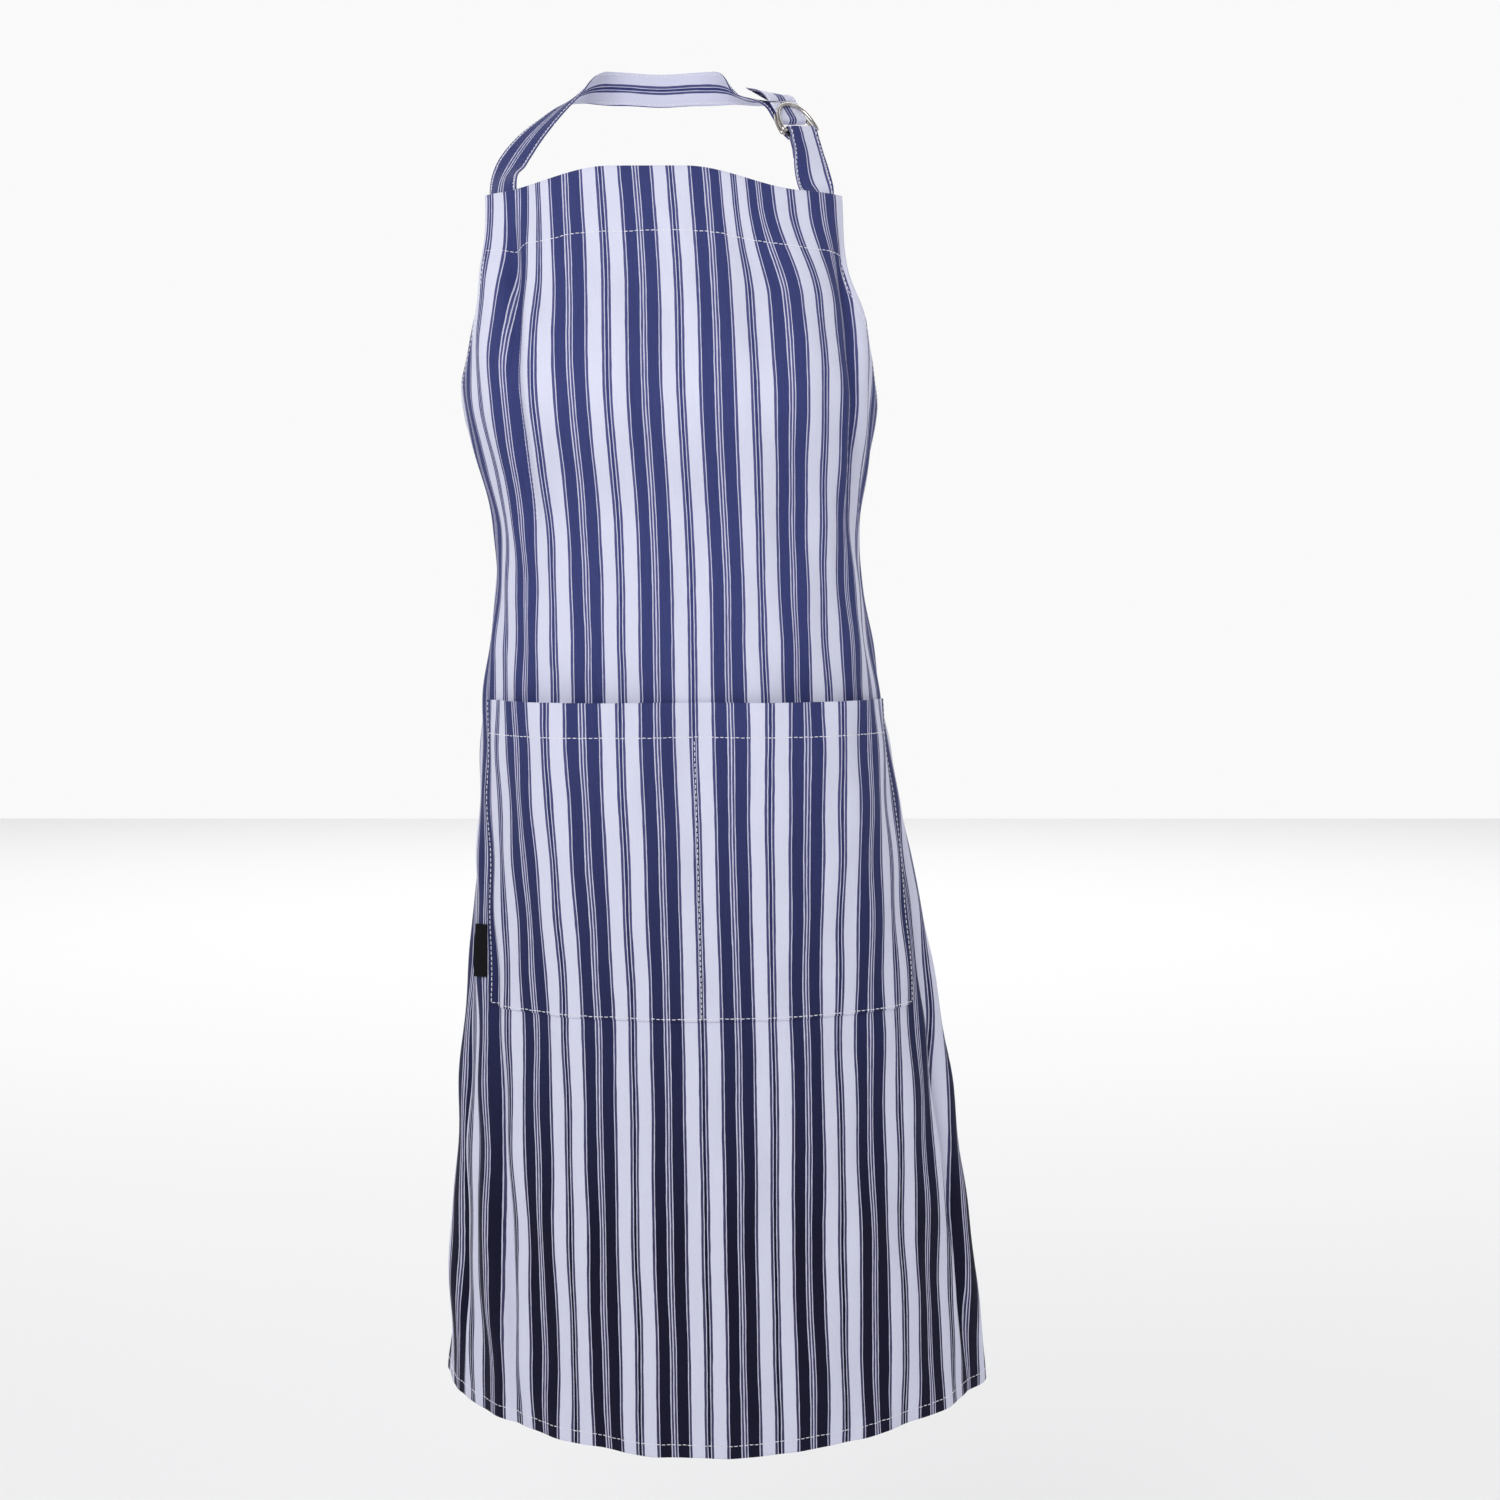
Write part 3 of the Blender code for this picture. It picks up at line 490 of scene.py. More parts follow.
def stitch_row(points, facings):
    """Rings of points round each stitch of a row along a seam: stitches x stations x corners x 3."""
    along_stitch, width, height = np.array(STITCH_SHAPE).T
    place = distances(points)
    count = max(1, int(place[-1] / STITCH_STEP))
    starts = (np.arange(count) + STITCH_FIRST) * place[-1] / count
    at = starts[:, None] + STITCH * along_stitch
    centre = sampled(at, place, points)
    facing = unit(sampled(at, place, facings))
    across = unit(np.cross(np.gradient(centre, axis=1), facing))
    slant = STITCH_SLANT * np.sin(np.arange(count) * 2.4)[:, None, None] * across
    centre = centre + facing * height[None, :, None] + slant
    radius = STITCH_WIDTH / 2 * width[None, :, None, None]
    angle = np.linspace(0, 2 * np.pi, STITCH_CORNERS, endpoint=False)[None, None, :, None]
    spokes = np.cos(angle) * across[:, :, None] + np.sin(angle) * facing[:, :, None]
    return centre[:, :, None] + radius * spokes


def stitch_piece(name, rows):
    """One object with all the stitches of some seams, each row given as its points and facings."""
    rings = np.concatenate([stitch_row(points, facings) for points, facings in rows])
    stitches, stations = rings.shape[:2]
    tube = grid_faces(stations, STITCH_CORNERS, wrap=True)
    starts = np.arange(stitches)[:, None, None] * stations * STITCH_CORNERS
    faces = (tube[None] + starts).reshape(-1, 4).tolist()
    first = np.arange(STITCH_CORNERS)
    for start in starts.ravel():
        faces.append((start + first).tolist())
        faces.append((start + (stations - 1) * STITCH_CORNERS + first[::-1]).tolist())
    return build(name, rings, faces)


def seam_row(sides, levels, offset, lift):
    """Points and facings of a seam on a cloth layer, lifted to the face that it shows on."""
    middle, normals = cloth(sides, levels, offset)
    middle, normals = middle.reshape(-1, 3), normals.reshape(-1, 3)
    return middle + normals * lift, normals * np.sign(lift)


def seam(sides, levels, offset, behind):
    """A seam shows on the layer's face, and on the back of the last layer that it goes through."""
    return [seam_row(sides, levels, offset, CLOTH / 2), seam_row(sides, levels, behind, -CLOTH / 2)]


# ======== tapes: straps and ties, folded from the same cloth ========

def tape_thickness():
    """Thickness over the lanes: rounded folds at the edges, pressed thinner where the thread runs."""
    inward = (1 - np.abs(LANES)) * TAPE_WIDTH / 2
    edge = np.clip(inward / 0.0006, 0.12, 1) ** 0.5
    return TAPE * edge * (1 - SEAM_PRESS * hill(inward, TAPE_SEAM, 0.0010))


def smooth_route(stops, spacing=TAPE_STEP):
    """Points and facings along a smooth curve through given stops."""
    points = np.array([stop[0] for stop in stops], float)
    facings = unit(np.array([stop[1] for stop in stops], float))
    place = distances(points)
    at = np.linspace(0.0, place[-1], int(round(place[-1] / spacing)) + 1)
    return tuple(np.stack([eased(at, place, data[:, k]) for k in range(3)], axis=1)
                 for data in (points, facings))


def tape_frame(centres, facings):
    tangents = unit(np.gradient(centres, axis=0))
    facings = unit(facings - np.sum(facings * tangents, axis=1)[:, None] * tangents)
    return np.cross(tangents, facings), facings


def tape(name, centres, facings, phase, width=TAPE_WIDTH, crown=0.0, gather=0.0):
    """Folded strip along a route, and its two edge seams; width, crown and pleats may vary along it.

    The stripes run on round the fold, so the tape's back shows the next part of them.
    """
    across, facings = tape_frame(centres, facings)
    stations = len(centres)
    width, crown, gather = (np.broadcast_to(value, stations)[:, None, None]
                            for value in (width, crown, gather))
    lanes = LANES[None, :, None]
    pleats = PLEAT * gather * np.cos(2.5 * np.pi * lanes + 0.6)
    middle = centres[:, None] + across[:, None] * width / 2 * lanes
    middle = middle + facings[:, None] * (pleats - crown * lanes**2)
    normals = np.repeat(facings[:, None], len(LANES), axis=1)
    place = distances(centres)
    reach = LANES[None, :] * TAPE_WIDTH / 2
    uvs, back_uvs = (np.stack(np.broadcast_arrays(woven, place[:, None]), axis=-1)
                     for woven in (phase + reach, phase + TAPE_WIDTH - reach))
    thickness = np.tile(tape_thickness(), (stations, 1))
    thickness[[0, -1], :] *= 0.4
    made = shell(name, middle, normals, thickness, uvs, back_uvs)
    rows = []
    for sign in (-1, 1):
        lane = sign * (1 - TAPE_SEAM / (TAPE_WIDTH / 2))
        line = np.stack([[np.interp(lane, LANES, row[:, k]) for k in range(3)] for row in middle])
        depth = TAPE / 2 * (1 - SEAM_PRESS)
        rows += [(line + facings * depth, facings), (line - facings * depth, -facings)]
    return made, rows


def ring_frame(towards, out):
    """World point in the rings' middle plane: towards the neck, and out from the body."""
    return RING_CENTRE + towards * TOWARDS_NECK + out * OUTWARD


def sewn_end(side):
    """Stops of a strap's sewn end, behind the bib's corner and its facing."""
    levels = (STRAP_SEWN, (STRAP_SEWN + TOP) / 2, TOP)
    return [inside(side, level, 1, TAPE + 2 * SEWN_DEPTH) for level in levels]


def sewn_crown(centres, side):
    """A strap is bent across to the bib's curve where it is sewn, and flat beyond it."""
    bib_top = cloth([side], [TOP], on_panel)[0][0, 0, 2]
    at_side = np.sign(side) * centres[:, 0] > NAPE_HALF_WIDTH
    return SEWN_CROWN * np.clip(1 - (centres[:, 2] - bib_top) / CROWN_FADE, 0, 1) * at_side


def add_arc(centres, facings, stops):
    """Continues a route through points in the rings' plane: towards, out, and the turn of the tape's face."""
    for towards, out, turn in stops:
        centres = np.vstack((centres, ring_frame(towards, out)))
        facings = np.vstack((facings, np.cos(turn) * OUTWARD + np.sin(turn) * TOWARDS_NECK))
    return centres, facings


def knot_centre():
    x, y = section(TIE_LEVEL, 1.0)
    return np.array((x, y + KNOT_STANDOFF, TIE_LEVEL))


# ======== materials ========

def new_material(name):
    material = bpy.data.materials.new(name)
    material.use_nodes = True
    return material, material.node_tree, material.node_tree.nodes["Principled BSDF"]


def link(tree, value, socket):
    """Sets a socket to a number or a colour, or connects it."""
    if isinstance(value, bpy.types.NodeSocket):
        tree.links.new(value, socket)
    elif isinstance(value, tuple) and socket.type == "RGBA":
        socket.default_value = (*value, 1.0)
    else:
        socket.default_value = value


def maths(tree, operation, *values):
    node = tree.nodes.new("ShaderNodeMath")
    node.operation = operation
    for value, socket in zip(values, node.inputs):
        link(tree, value, socket)
    return node.outputs[0]


def noise(tree, vector, stretch, detail=2.0, roughness=0.5):
    """Noise over a vector, with the number of features per metre along each axis."""
    mapping = tree.nodes.new("ShaderNodeMapping")
    mapping.inputs["Scale"].default_value = stretch
    tree.links.new(vector, mapping.inputs["Vector"])
    node = tree.nodes.new("ShaderNodeTexNoise")
    node.inputs["Scale"].default_value = 1.0
    node.inputs["Detail"].default_value = detail
    node.inputs["Roughness"].default_value = roughness
    tree.links.new(mapping.outputs["Vector"], node.inputs["Vector"])
    return node.outputs["Fac"]


def blend(tree, factor, first, second):
    node = tree.nodes.new("ShaderNodeMix")
    node.data_type = "RGBA"
    for value, socket in ((factor, node.inputs[0]), (first, node.inputs[6]), (second, node.inputs[7])):
        link(tree, value, socket)
    return node.outputs[2]


def relief(tree, shader, height, distance, strength=1.0):
    node = tree.nodes.new("ShaderNodeBump")
    node.inputs["Strength"].default_value = strength
    node.inputs["Distance"].default_value = distance
    tree.links.new(height, node.inputs["Height"])
    tree.links.new(node.outputs["Normal"], shader.inputs["Normal"])


def woven_place(tree):
    """Place on the woven cloth, and its two parts: across the stripes and along them."""
    place = tree.nodes.new("ShaderNodeUVMap")
    place.uv_map = "weave"
    parts = tree.nodes.new("ShaderNodeSeparateXYZ")
    tree.links.new(place.outputs["UV"], parts.inputs[0])
    return place.outputs["UV"], parts.outputs["X"], parts.outputs["Y"]


def threads(tree, across, along, warp_pitch, weft_pitch):
    """Height of a plain weave: warp and weft threads that cross over and under."""
    warp = maths(tree, "SINE", maths(tree, "MULTIPLY", across, np.pi / warp_pitch))
    weft = maths(tree, "SINE", maths(tree, "MULTIPLY", along, np.pi / weft_pitch))
    return maths(tree, "MULTIPLY", warp, weft)


def stripe_shade(tree, place, across):
    """Shade of the woven stripes, with edges that waver as real threads do."""
    sway = maths(tree, "MULTIPLY_ADD", noise(tree, place, (11, 7, 1), 1.0), 0.0036, -0.0018)
    fray = maths(tree, "MULTIPLY_ADD", noise(tree, place, (420, 60, 1), 2.0), 0.0008, -0.0004)
    moved = maths(tree, "ADD", across, maths(tree, "ADD", sway, fray))
    turns = maths(tree, "MULTIPLY_ADD", moved, 1 / REPEAT, (WIDE_GROUP / 2 - STRIPE_MIDDLE) / REPEAT)
    ramp = tree.nodes.new("ShaderNodeValToRGB")
    ramp.color_ramp.interpolation = "CONSTANT"
    tree.links.new(maths(tree, "FRACT", turns), ramp.inputs["Fac"])
    stops = ramp.color_ramp.elements
    start = 0.0
    for number, (shade, width) in enumerate(STRIPES):
        stop = stops[number] if number < 2 else stops.new(start)
        stop.position = start
        stop.color = (shade, shade, shade, 1.0)
        start += width / 1000 / REPEAT
    return ramp.outputs["Color"]


def striped_cotton():
    """Yarn-dyed ticking: navy and white warp stripes with a white weft, and slubs along the threads."""
    material, tree, shader = new_material("striped_cotton_weave")
    place, across, along = woven_place(tree)
    shade = stripe_shade(tree, place, across)
    slub = noise(tree, place, (1700, 38, 1), 3.0, 0.65)
    fleck = noise(tree, place, (1500, 700, 1), 2.0, 0.7)
    cloud = noise(tree, place, (22, 14, 1), 3.0, 0.6)
    between = maths(tree, "MULTIPLY", shade, maths(tree, "SUBTRACT", 1.0, shade))
    mottled = maths(tree, "MULTIPLY", maths(tree, "SUBTRACT", slub, 0.5), between)
    factor = maths(tree, "MULTIPLY_ADD", mottled, 4.0, shade)
    factor.node.use_clamp = True
    # Painted light and shade: share of the lighter navy, by level, from the darker navy at the hem to the
    # lighter navy at the bib.
    painted_light_share = tree.nodes.new("ShaderNodeMapRange")
    tree.links.new(along, painted_light_share.inputs["Value"])
    painted_light_share.inputs["From Min"].default_value = PAINTED_LIGHT_FROM
    painted_light_share.inputs["From Max"].default_value = PAINTED_LIGHT_TO
    deep = blend(tree, slub, (0.002, 0.002, 0.012), (0.007, 0.007, 0.034))
    # Lighter navy of the bib, painted light; the light flecks are blended into this painted-light navy only.
    wear_and_painted_light = blend(tree, slub, (0.017, 0.022, 0.100), (0.050, 0.062, 0.220))
    wear_and_painted_light = blend(tree, maths(tree, "MULTIPLY", fleck, 0.16), wear_and_painted_light, (0.12, 0.14, 0.34))
    navy = blend(tree, painted_light_share.outputs["Result"], deep, wear_and_painted_light)
    white = blend(tree, slub, (0.66, 0.67, 0.83), (0.76, 0.77, 0.93))
    white = blend(tree, maths(tree, "MULTIPLY", cloud, 0.20), white, (0.60, 0.60, 0.78))
    lighter = maths(tree, "MULTIPLY", factor, 2.0)
    darker = maths(tree, "MULTIPLY_ADD", factor, 2.0, -1.0)
    lighter.node.use_clamp = darker.node.use_clamp = True
    mixed_yarn = blend(tree, lighter, white, (0.20, 0.18, 0.40))
    tree.links.new(blend(tree, darker, mixed_yarn, navy), shader.inputs["Base Color"])
    height = threads(tree, across, along, WARP_PITCH, WEFT_PITCH)
    height = maths(tree, "MULTIPLY_ADD", slub, 1.3, height)
    height = maths(tree, "MULTIPLY_ADD", noise(tree, place, (260, 190, 1), 3.0, 0.6), 4.0, height)
    relief(tree, shader, height, 0.00012, 0.6)
    tree.links.new(maths(tree, "MULTIPLY_ADD", fleck, 0.14, 0.60), shader.inputs["Roughness"])
    shader.inputs["Sheen Weight"].default_value = 0.015
    shader.inputs["Sheen Roughness"].default_value = 0.40
    shader.inputs["Sheen Tint"].default_value = (0.80, 0.82, 1.0, 1.0)
    shader.inputs["Specular IOR Level"].default_value = 0.15
    return material


def white_thread():
    """Twisted polyester sewing thread."""
    material, tree, shader = new_material("sewing_thread")
    place = tree.nodes.new("ShaderNodeTexCoord").outputs["Object"]
    tone = noise(tree, place, (400, 400, 400), 2.0)
    tree.links.new(blend(tree, tone, (0.72, 0.72, 0.80), (0.95, 0.95, 0.99)), shader.inputs["Base Color"])
    relief(tree, shader, noise(tree, place, (3800, 3800, 3800), 1.0), 0.00008, 0.5)
    shader.inputs["Roughness"].default_value = 0.5
    shader.inputs["Sheen Weight"].default_value = 0.3
    return material


def label_satin():
    """Black damask label: fine ribs across it and a slightly lighter weft."""
    material, tree, shader = new_material("label_satin")
    place, across, along = woven_place(tree)
    rib = maths(tree, "SINE", maths(tree, "MULTIPLY", along, 2 * np.pi / 0.00036))
    tone = noise(tree, place, (900, 2600, 1), 2.0, 0.7)
    black = blend(tree, tone, (0.002, 0.002, 0.003), (0.012, 0.012, 0.015))
    tree.links.new(black, shader.inputs["Base Color"])
    relief(tree, shader, maths(tree, "ADD", rib, threads(tree, across, along, 0.0003, 0.0005)), 0.00006, 0.6)
    shader.inputs["Roughness"].default_value = 0.7
    shader.inputs["Specular IOR Level"].default_value = 0.1
    return material


def nickel():
    """Nickel-plated wire with faint draw marks; its colour is painted darker than bright nickel, a painted
    dark reflection.
    """
    material, tree, shader = new_material("nickel_wire")
    place = tree.nodes.new("ShaderNodeTexCoord").outputs["Object"]
    wear_and_painted_light = noise(tree, place, (260, 260, 260), 4.0, 0.7)
    # Painted reflection: both colours are darker than bright nickel, standing in for dark surroundings
    # mirrored in the wire; the noise between them is wear.
    tree.links.new(blend(tree, wear_and_painted_light, (0.40, 0.37, 0.35), (0.62, 0.59, 0.56)), shader.inputs["Base Color"])
    tree.links.new(maths(tree, "MULTIPLY_ADD", wear_and_painted_light, 0.22, 0.10), shader.inputs["Roughness"])
    relief(tree, shader, noise(tree, place, (900, 900, 900), 3.0), 0.00004, 0.4)
    shader.inputs["Metallic"].default_value = 1.0
    return material


def paint(name, colour):
    material, _, shader = new_material(name)
    shader.inputs["Base Color"].default_value = (*colour, 1.0)
    shader.inputs["Roughness"].default_value = 0.8
    return material


# ======== the apron ========

def dress(piece, material, body, slot, *stands_for):
    """Gives a piece its material and the body that it rides on, and hides the CAD nodes that it stands for.
    """
    piece.data.materials.append(material)
    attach(piece, body)
    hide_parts(*stands_for)
    return piece


def sewn(name, rows, thread, body, *stands_for):
    return dress(stitch_piece(name, rows), thread, body, "white_thread", *stands_for)


def sewn_seams(seams, thread):
    """The apron's own seams, one piece each."""
    return [sewn(f"{name}_stitches", rows, thread, "apron", f"{name}_thread") for name, rows in seams.items()]


def apron_layer(name, sides, levels, offset, cotton, node):
    """Layer of cloth that rides on the apron and stands for a CAD node."""
    return dress(layer(name, sides, levels, offset), cotton, "apron", "striped_cotton", node)


def make_panel(cotton, thread):
    """The apron's body, its turned hems on the inside, and its seams."""
    columns = spread(-1, 1, PANEL_COLUMN)
    facing_rows = spread(TOP, FACING_END, FACING_ROW)
    bottom_rows = spread(HEM_LINE, BOTTOM, HEM_ROW)
    rows = np.concatenate((facing_rows[:-2], spread(FACING_END, HEM_LINE, PANEL_ROW)[2:-2], bottom_rows[2:]))
    panel = apron_layer("panel", columns, rows, on_panel, cotton, "apron_panel")
    hems = [apron_layer("facing", columns, facing_rows, behind_panel, cotton, "bib_facing")]
    inset = GAP / 2
    for hand, sign in (("left", -1), ("right", 1)):
        sides = spread(*sorted((sign * SIDE_LINE, sign * 1.0)), SIDE_HEM_COLUMN)
        for fold, node, upper, lower in (("armhole_fold", "armhole_hem", FACING_END - inset, WAIST + inset),
                                         ("skirt_fold", "side_hem", WAIST - inset, BOTTOM)):
            hems.append(apron_layer(f"{hand}_{fold}", sides, spread(upper, lower, PANEL_ROW), behind_panel,
                                    cotton, f"{hand}_{node}"))
    clear = 2 * inset / HALF_WIDTH
    bottom_columns = spread(-SIDE_LINE + clear, SIDE_LINE - clear, BOTTOM_COLUMN)
    hems.append(apron_layer("bottom_fold", bottom_columns, bottom_rows, behind_panel, cotton, "bottom_hem"))
    across = np.linspace(-SIDE_LINE, SIDE_LINE, 400)
    down = np.linspace(FACING_END - 0.002, HEM_LINE, 500)
    seams = {
        "bib_facing": seam(across, [FACING_END + HEM_SEAM], on_panel, behind_panel),
        "bottom_hem": seam(across, [HEM_LINE - HEM_SEAM], on_panel, behind_panel),
        "left_edge": seam([-SIDE_LINE - EDGE_SEAM], down, on_panel, behind_panel),
        "right_edge": seam([SIDE_LINE + EDGE_SEAM], down, on_panel, behind_panel),
    }
    hems + sewn_seams(seams, thread)


def make_pocket(cotton, thread):
    """Two-bay pocket with its turned top hem and the seams that sew it on."""
    columns = np.unique(np.concatenate((spread(POCKET_LEFT, POCKET_RIGHT, POCKET_COLUMN), [DIVIDER])))
    rows = spread(POCKET_BOTTOM, POCKET_TOP, POCKET_ROW)
    pocket = apron_layer("pocket", columns, rows, pocket_offset, cotton, "pocket_panel")
    hem_columns = columns[(columns > LEFT_SEAM) & (columns < RIGHT_SEAM)]
    hem_rows = spread(POCKET_TOP, POCKET_HEM, POCKET_ROW)
    hem = apron_layer("pocket_fold", hem_columns, hem_rows, behind_pocket, cotton, "pocket_top_hem")
    across = np.linspace(LEFT_SEAM, RIGHT_SEAM, 300)
    down = np.linspace(POCKET_TOP - 0.001, BOTTOM_SEAM, 200)
    inner = np.linspace(POCKET_HEM - 0.001, BOTTOM_SEAM, 200)
    seams = {
        "pocket_hem": seam(across, [POCKET_HEM + HEM_SEAM], pocket_offset, behind_pocket),
        "pocket_bottom": seam(across, [BOTTOM_SEAM], pocket_offset, on_panel),
        "pocket_left": seam([LEFT_SEAM], down, pocket_offset, on_panel),
        "pocket_right": seam([RIGHT_SEAM], down, pocket_offset, on_panel),
        "pocket_divider": seam([DIVIDER], inner, pocket_offset, on_panel),
    }
    [hem] + sewn_seams(seams, thread)


def make_label(satin):
    """Folded woven label that stands out from the pocket's left seam."""
    root = POCKET_LEFT - LABEL_GAP / HALF_WIDTH
    tip = POCKET_LEFT - LABEL_WIDTH / HALF_WIDTH

    def lifted(side, level):
        out = (root - side) / (root - tip)
        bulge = LABEL_BULGE * np.sin(np.pi * (LABEL_TOP - level) / LABEL_HEIGHT)
        return LAYER + LABEL_LIFT * out + bulge * out

    rows = spread(LABEL_TOP, LABEL_TOP - LABEL_HEIGHT, LABEL_ROW)
    label = layer("label", spread(tip, root, LABEL_COLUMN), rows, lifted)
    dress(label, satin, "label", "label_weave", "side_label")


def strip(name, route, phase, cotton, thread, body, node, held, rests_on, **shape):
    """Tape along a route, sewn along its edges."""
    made, rows = tape(name, *route, phase, **shape)
    dress(made, cotton, body, "striped_cotton", node)
    stitches = sewn(f"{name}_stitches", rows, thread, body)


def make_neck_strap(cotton, thread):
    """Long strap round the nape, under both rings and back between them, and its loose end."""
    approach = [(ring_frame(towards, INCOMING), OUTWARD) for towards in (*NEAR_RINGS, TURN_AT)]
    centres, facings = smooth_route(sewn_end(-STRAP_SIDE) + STRAP_ROUTE + approach)
    turn = [(TURN_AT - TURN_RADIUS * np.sin(a), INCOMING + TURN_RADIUS * (1 - np.cos(a)), a)
            for a in np.linspace(0, np.pi, 13)[1:]]
    back = [(towards, 0.0, np.pi) for towards in (*NEAR_RINGS[::-1], RETURN_END)]
    centres, facings = add_arc(centres, facings, turn + back)
    strip("strap", (centres, facings), STRAP_PHASE, cotton, thread, "apron", "neck_strap", "hung",
          ["panel"], crown=sewn_crown(centres, -STRAP_SIDE))
    last_point, last_facing = np.array(STRAP_ROUTE[-1][0]), unit(np.array(STRAP_ROUTE[-1][1]))
    start = ring_frame(RETURN_END + 3 * GAP, 0.0)
    stops = [(start, OUTWARD), (ring_frame(TAIL_BEND, 0.0), OUTWARD),
             (start + TAIL_SHARE * (last_point - start) + last_facing * TAIL_LIFT, last_facing)]
    strip("strap_loose_end", smooth_route(stops), STRAP_PHASE + TAPE_WIDTH, cotton, thread, "strap_end",
          "strap_tail", "hung", ["strap"])


def make_ring_strap(cotton, thread):
    """Short strap behind the right corner, looped round both rings' bars and stitched to itself."""
    outer = BAR_SPACING / 2
    below, aside = LOOP_SHOULDER
    climb = [RING_STRAP_STOP, (ring_frame(-LOOP_FOOT, LOOP_LEG) + FOOT_SHIFT, OUTWARD),
             (ring_frame(-LOOP_STITCH, LOOP_LEG), OUTWARD)]
    centres, facings = smooth_route(sewn_end(RING_STRAP_SIDE) + climb)
    leg = list(zip(centres[-LOOP_OVERLAP - 1:-1][::-1], facings[-LOOP_OVERLAP - 1:-1][::-1]))
    corner = [(LOOP_RADIUS * np.sin(a), outer + LOOP_RADIUS * np.cos(a), a)
              for a in np.linspace(0, np.pi / 2, 7)]
    far_corner = [(towards, -out, np.pi - a) for towards, out, a in corner[::-1]]
    loop = [(-below, outer + aside, 0.0), *corner, *far_corner, (-below, -outer - aside, np.pi),
            (-LOOP_STITCH, -LOOP_LEG, np.pi)]
    centres, facings = add_arc(centres, facings, loop)
    for point, facing in leg:
        centres = np.vstack((centres, point - unit(facing) * 2 * LOOP_LEG))
        facings = np.vstack((facings, -unit(facing)))
    strip("ring_loop", (centres, facings), RING_STRAP_PHASE, cotton, thread, "apron", "ring_strap", "hung",
          ["panel", "front_ring_wire", "back_ring_wire"], crown=sewn_crown(centres, RING_STRAP_SIDE))


def make_ring(name, sign, steel, body, node):
    """D-ring of bent wire: a straight bar in the strap's loop and a square-shouldered bow."""
    angles = np.linspace(0.02, np.pi - 0.02, 64)
    power = 2 / RING_SQUARENESS
    across = RING_HALF_WIDTH * np.sign(np.cos(angles)) * np.abs(np.cos(angles)) ** power
    along = RING_HEIGHT * np.sin(angles) ** power
    heel = RING_HALF_WIDTH - RING_HEEL
    bar = np.linspace(-heel, heel, 12)
    across, along = np.concatenate((across, bar)), np.concatenate((along, 0.0 * bar))
    tilt = sign * RING_SPLAY
    lean = np.cos(tilt) * TOWARDS_NECK + np.sin(tilt) * OUTWARD
    plane = np.cos(tilt) * OUTWARD - np.sin(tilt) * TOWARDS_NECK
    points = ring_frame(0.0, sign * BAR_SPACING / 2) + np.outer(across, ALONG_BAR) + np.outer(along, lean)
    tangents = np.roll(points, -1, axis=0) - np.roll(points, 1, axis=0)
    sides = unit(np.cross(tangents, plane))
    angle = np.linspace(0, 2 * np.pi, WIRE_CORNERS, endpoint=False)[None, :, None]
    rings = points[:, None] + WIRE / 2 * (np.cos(angle) * sides[:, None] + np.sin(angle) * plane)
    faces = grid_faces(len(rings) + 1, WIRE_CORNERS, wrap=True) % (len(rings) * WIRE_CORNERS)
    dress(build(name, rings, faces), steel, body, "nickel_plate", node)


def make_knot(cotton, centre):
    """Knot of the bow: a band pleated over the two loops, closed at both sides."""
    reach = np.linspace(-1, 1, 41)
    turn = np.linspace(0, 2 * np.pi, 72, endpoint=False)
    profile = np.clip(1 - np.abs(reach) ** 2.6, 0.0, 1) ** 0.5
    profile = np.maximum(profile, 0.08)[:, None]
    pleat = 1 + 0.055 * np.cos(5 * np.pi * reach + 0.5)[:, None] * (1 + 0.3 * np.sin(2 * turn))[None]
    y = KNOT_SIZE[1] / 2 * 0.94 * profile * pleat * np.cos(turn)
    z = KNOT_SIZE[2] / 2 * 0.94 * profile * pleat * np.sin(turn)
    x = np.broadcast_to((KNOT_SIZE[0] / 2 * reach)[:, None], y.shape)
    uvs = np.stack(np.broadcast_arrays(STRAP_PHASE + 0.012 * reach[:, None], 0.011 * turn[None]), axis=-1)
    faces = grid_faces(len(reach), len(turn), wrap=True).tolist()
    index = np.arange(len(reach) * len(turn)).reshape(len(reach), -1)
    faces += [index[0].tolist()[::-1], index[-1].tolist()]
    knot = build("knot", np.stack((x, y, z), axis=-1) + centre, faces, uvs)
    dress(knot, cotton, "apron", "striped_cotton", "waist_knot")


def spreading(beyond, span, narrow=PINCHED):
    """Width of a tape that is pinched by the knot and spreads over a span beyond it."""
    return narrow + (TAPE_WIDTH - PINCHED) * np.clip(beyond / span, 0, 1)


def gathering(beyond, span):
    """How much of a tape's pleats is left at a distance from the knot."""
    return np.clip(1 - beyond / span, 0, 1) ** 2


def make_tie(hand, sign, knot, cotton, thread):
    """Waist tie from the panel's side to the knot."""
    route = [inside(sign * side, TIE_LEVEL, 1, TAPE) for side in np.linspace(TIE_SEWN, TIE_FREE, TIE_STOPS)]
    knot_side = KNOT_SIZE[0] / 2
    route = [stop for stop in route if sign * (stop[0][0] - knot[0]) > knot_side + TIE_CLEARANCE]
    end = knot + (sign * (knot_side + GAP), -TIE_DEPTH, 0.0)
    centres, facings = smooth_route([*route, (end, (0.0, 1.0, 0.0))])
    reach = np.abs(centres[:, 0] - knot[0]) - knot_side
    width, gather = spreading(reach, TIE_SPREAD), gathering(reach, TIE_GATHER)
    half = len(width) // 2
    width[:half] = TAPE_WIDTH
    gather[:half] = 0.0
    strip(f"{hand}_tie", (centres, facings), STRAP_PHASE, cotton, thread, "apron", f"{hand}_waist_tie",
          "stretched", ["panel", "knot"], width=width, gather=0.6 * gather)


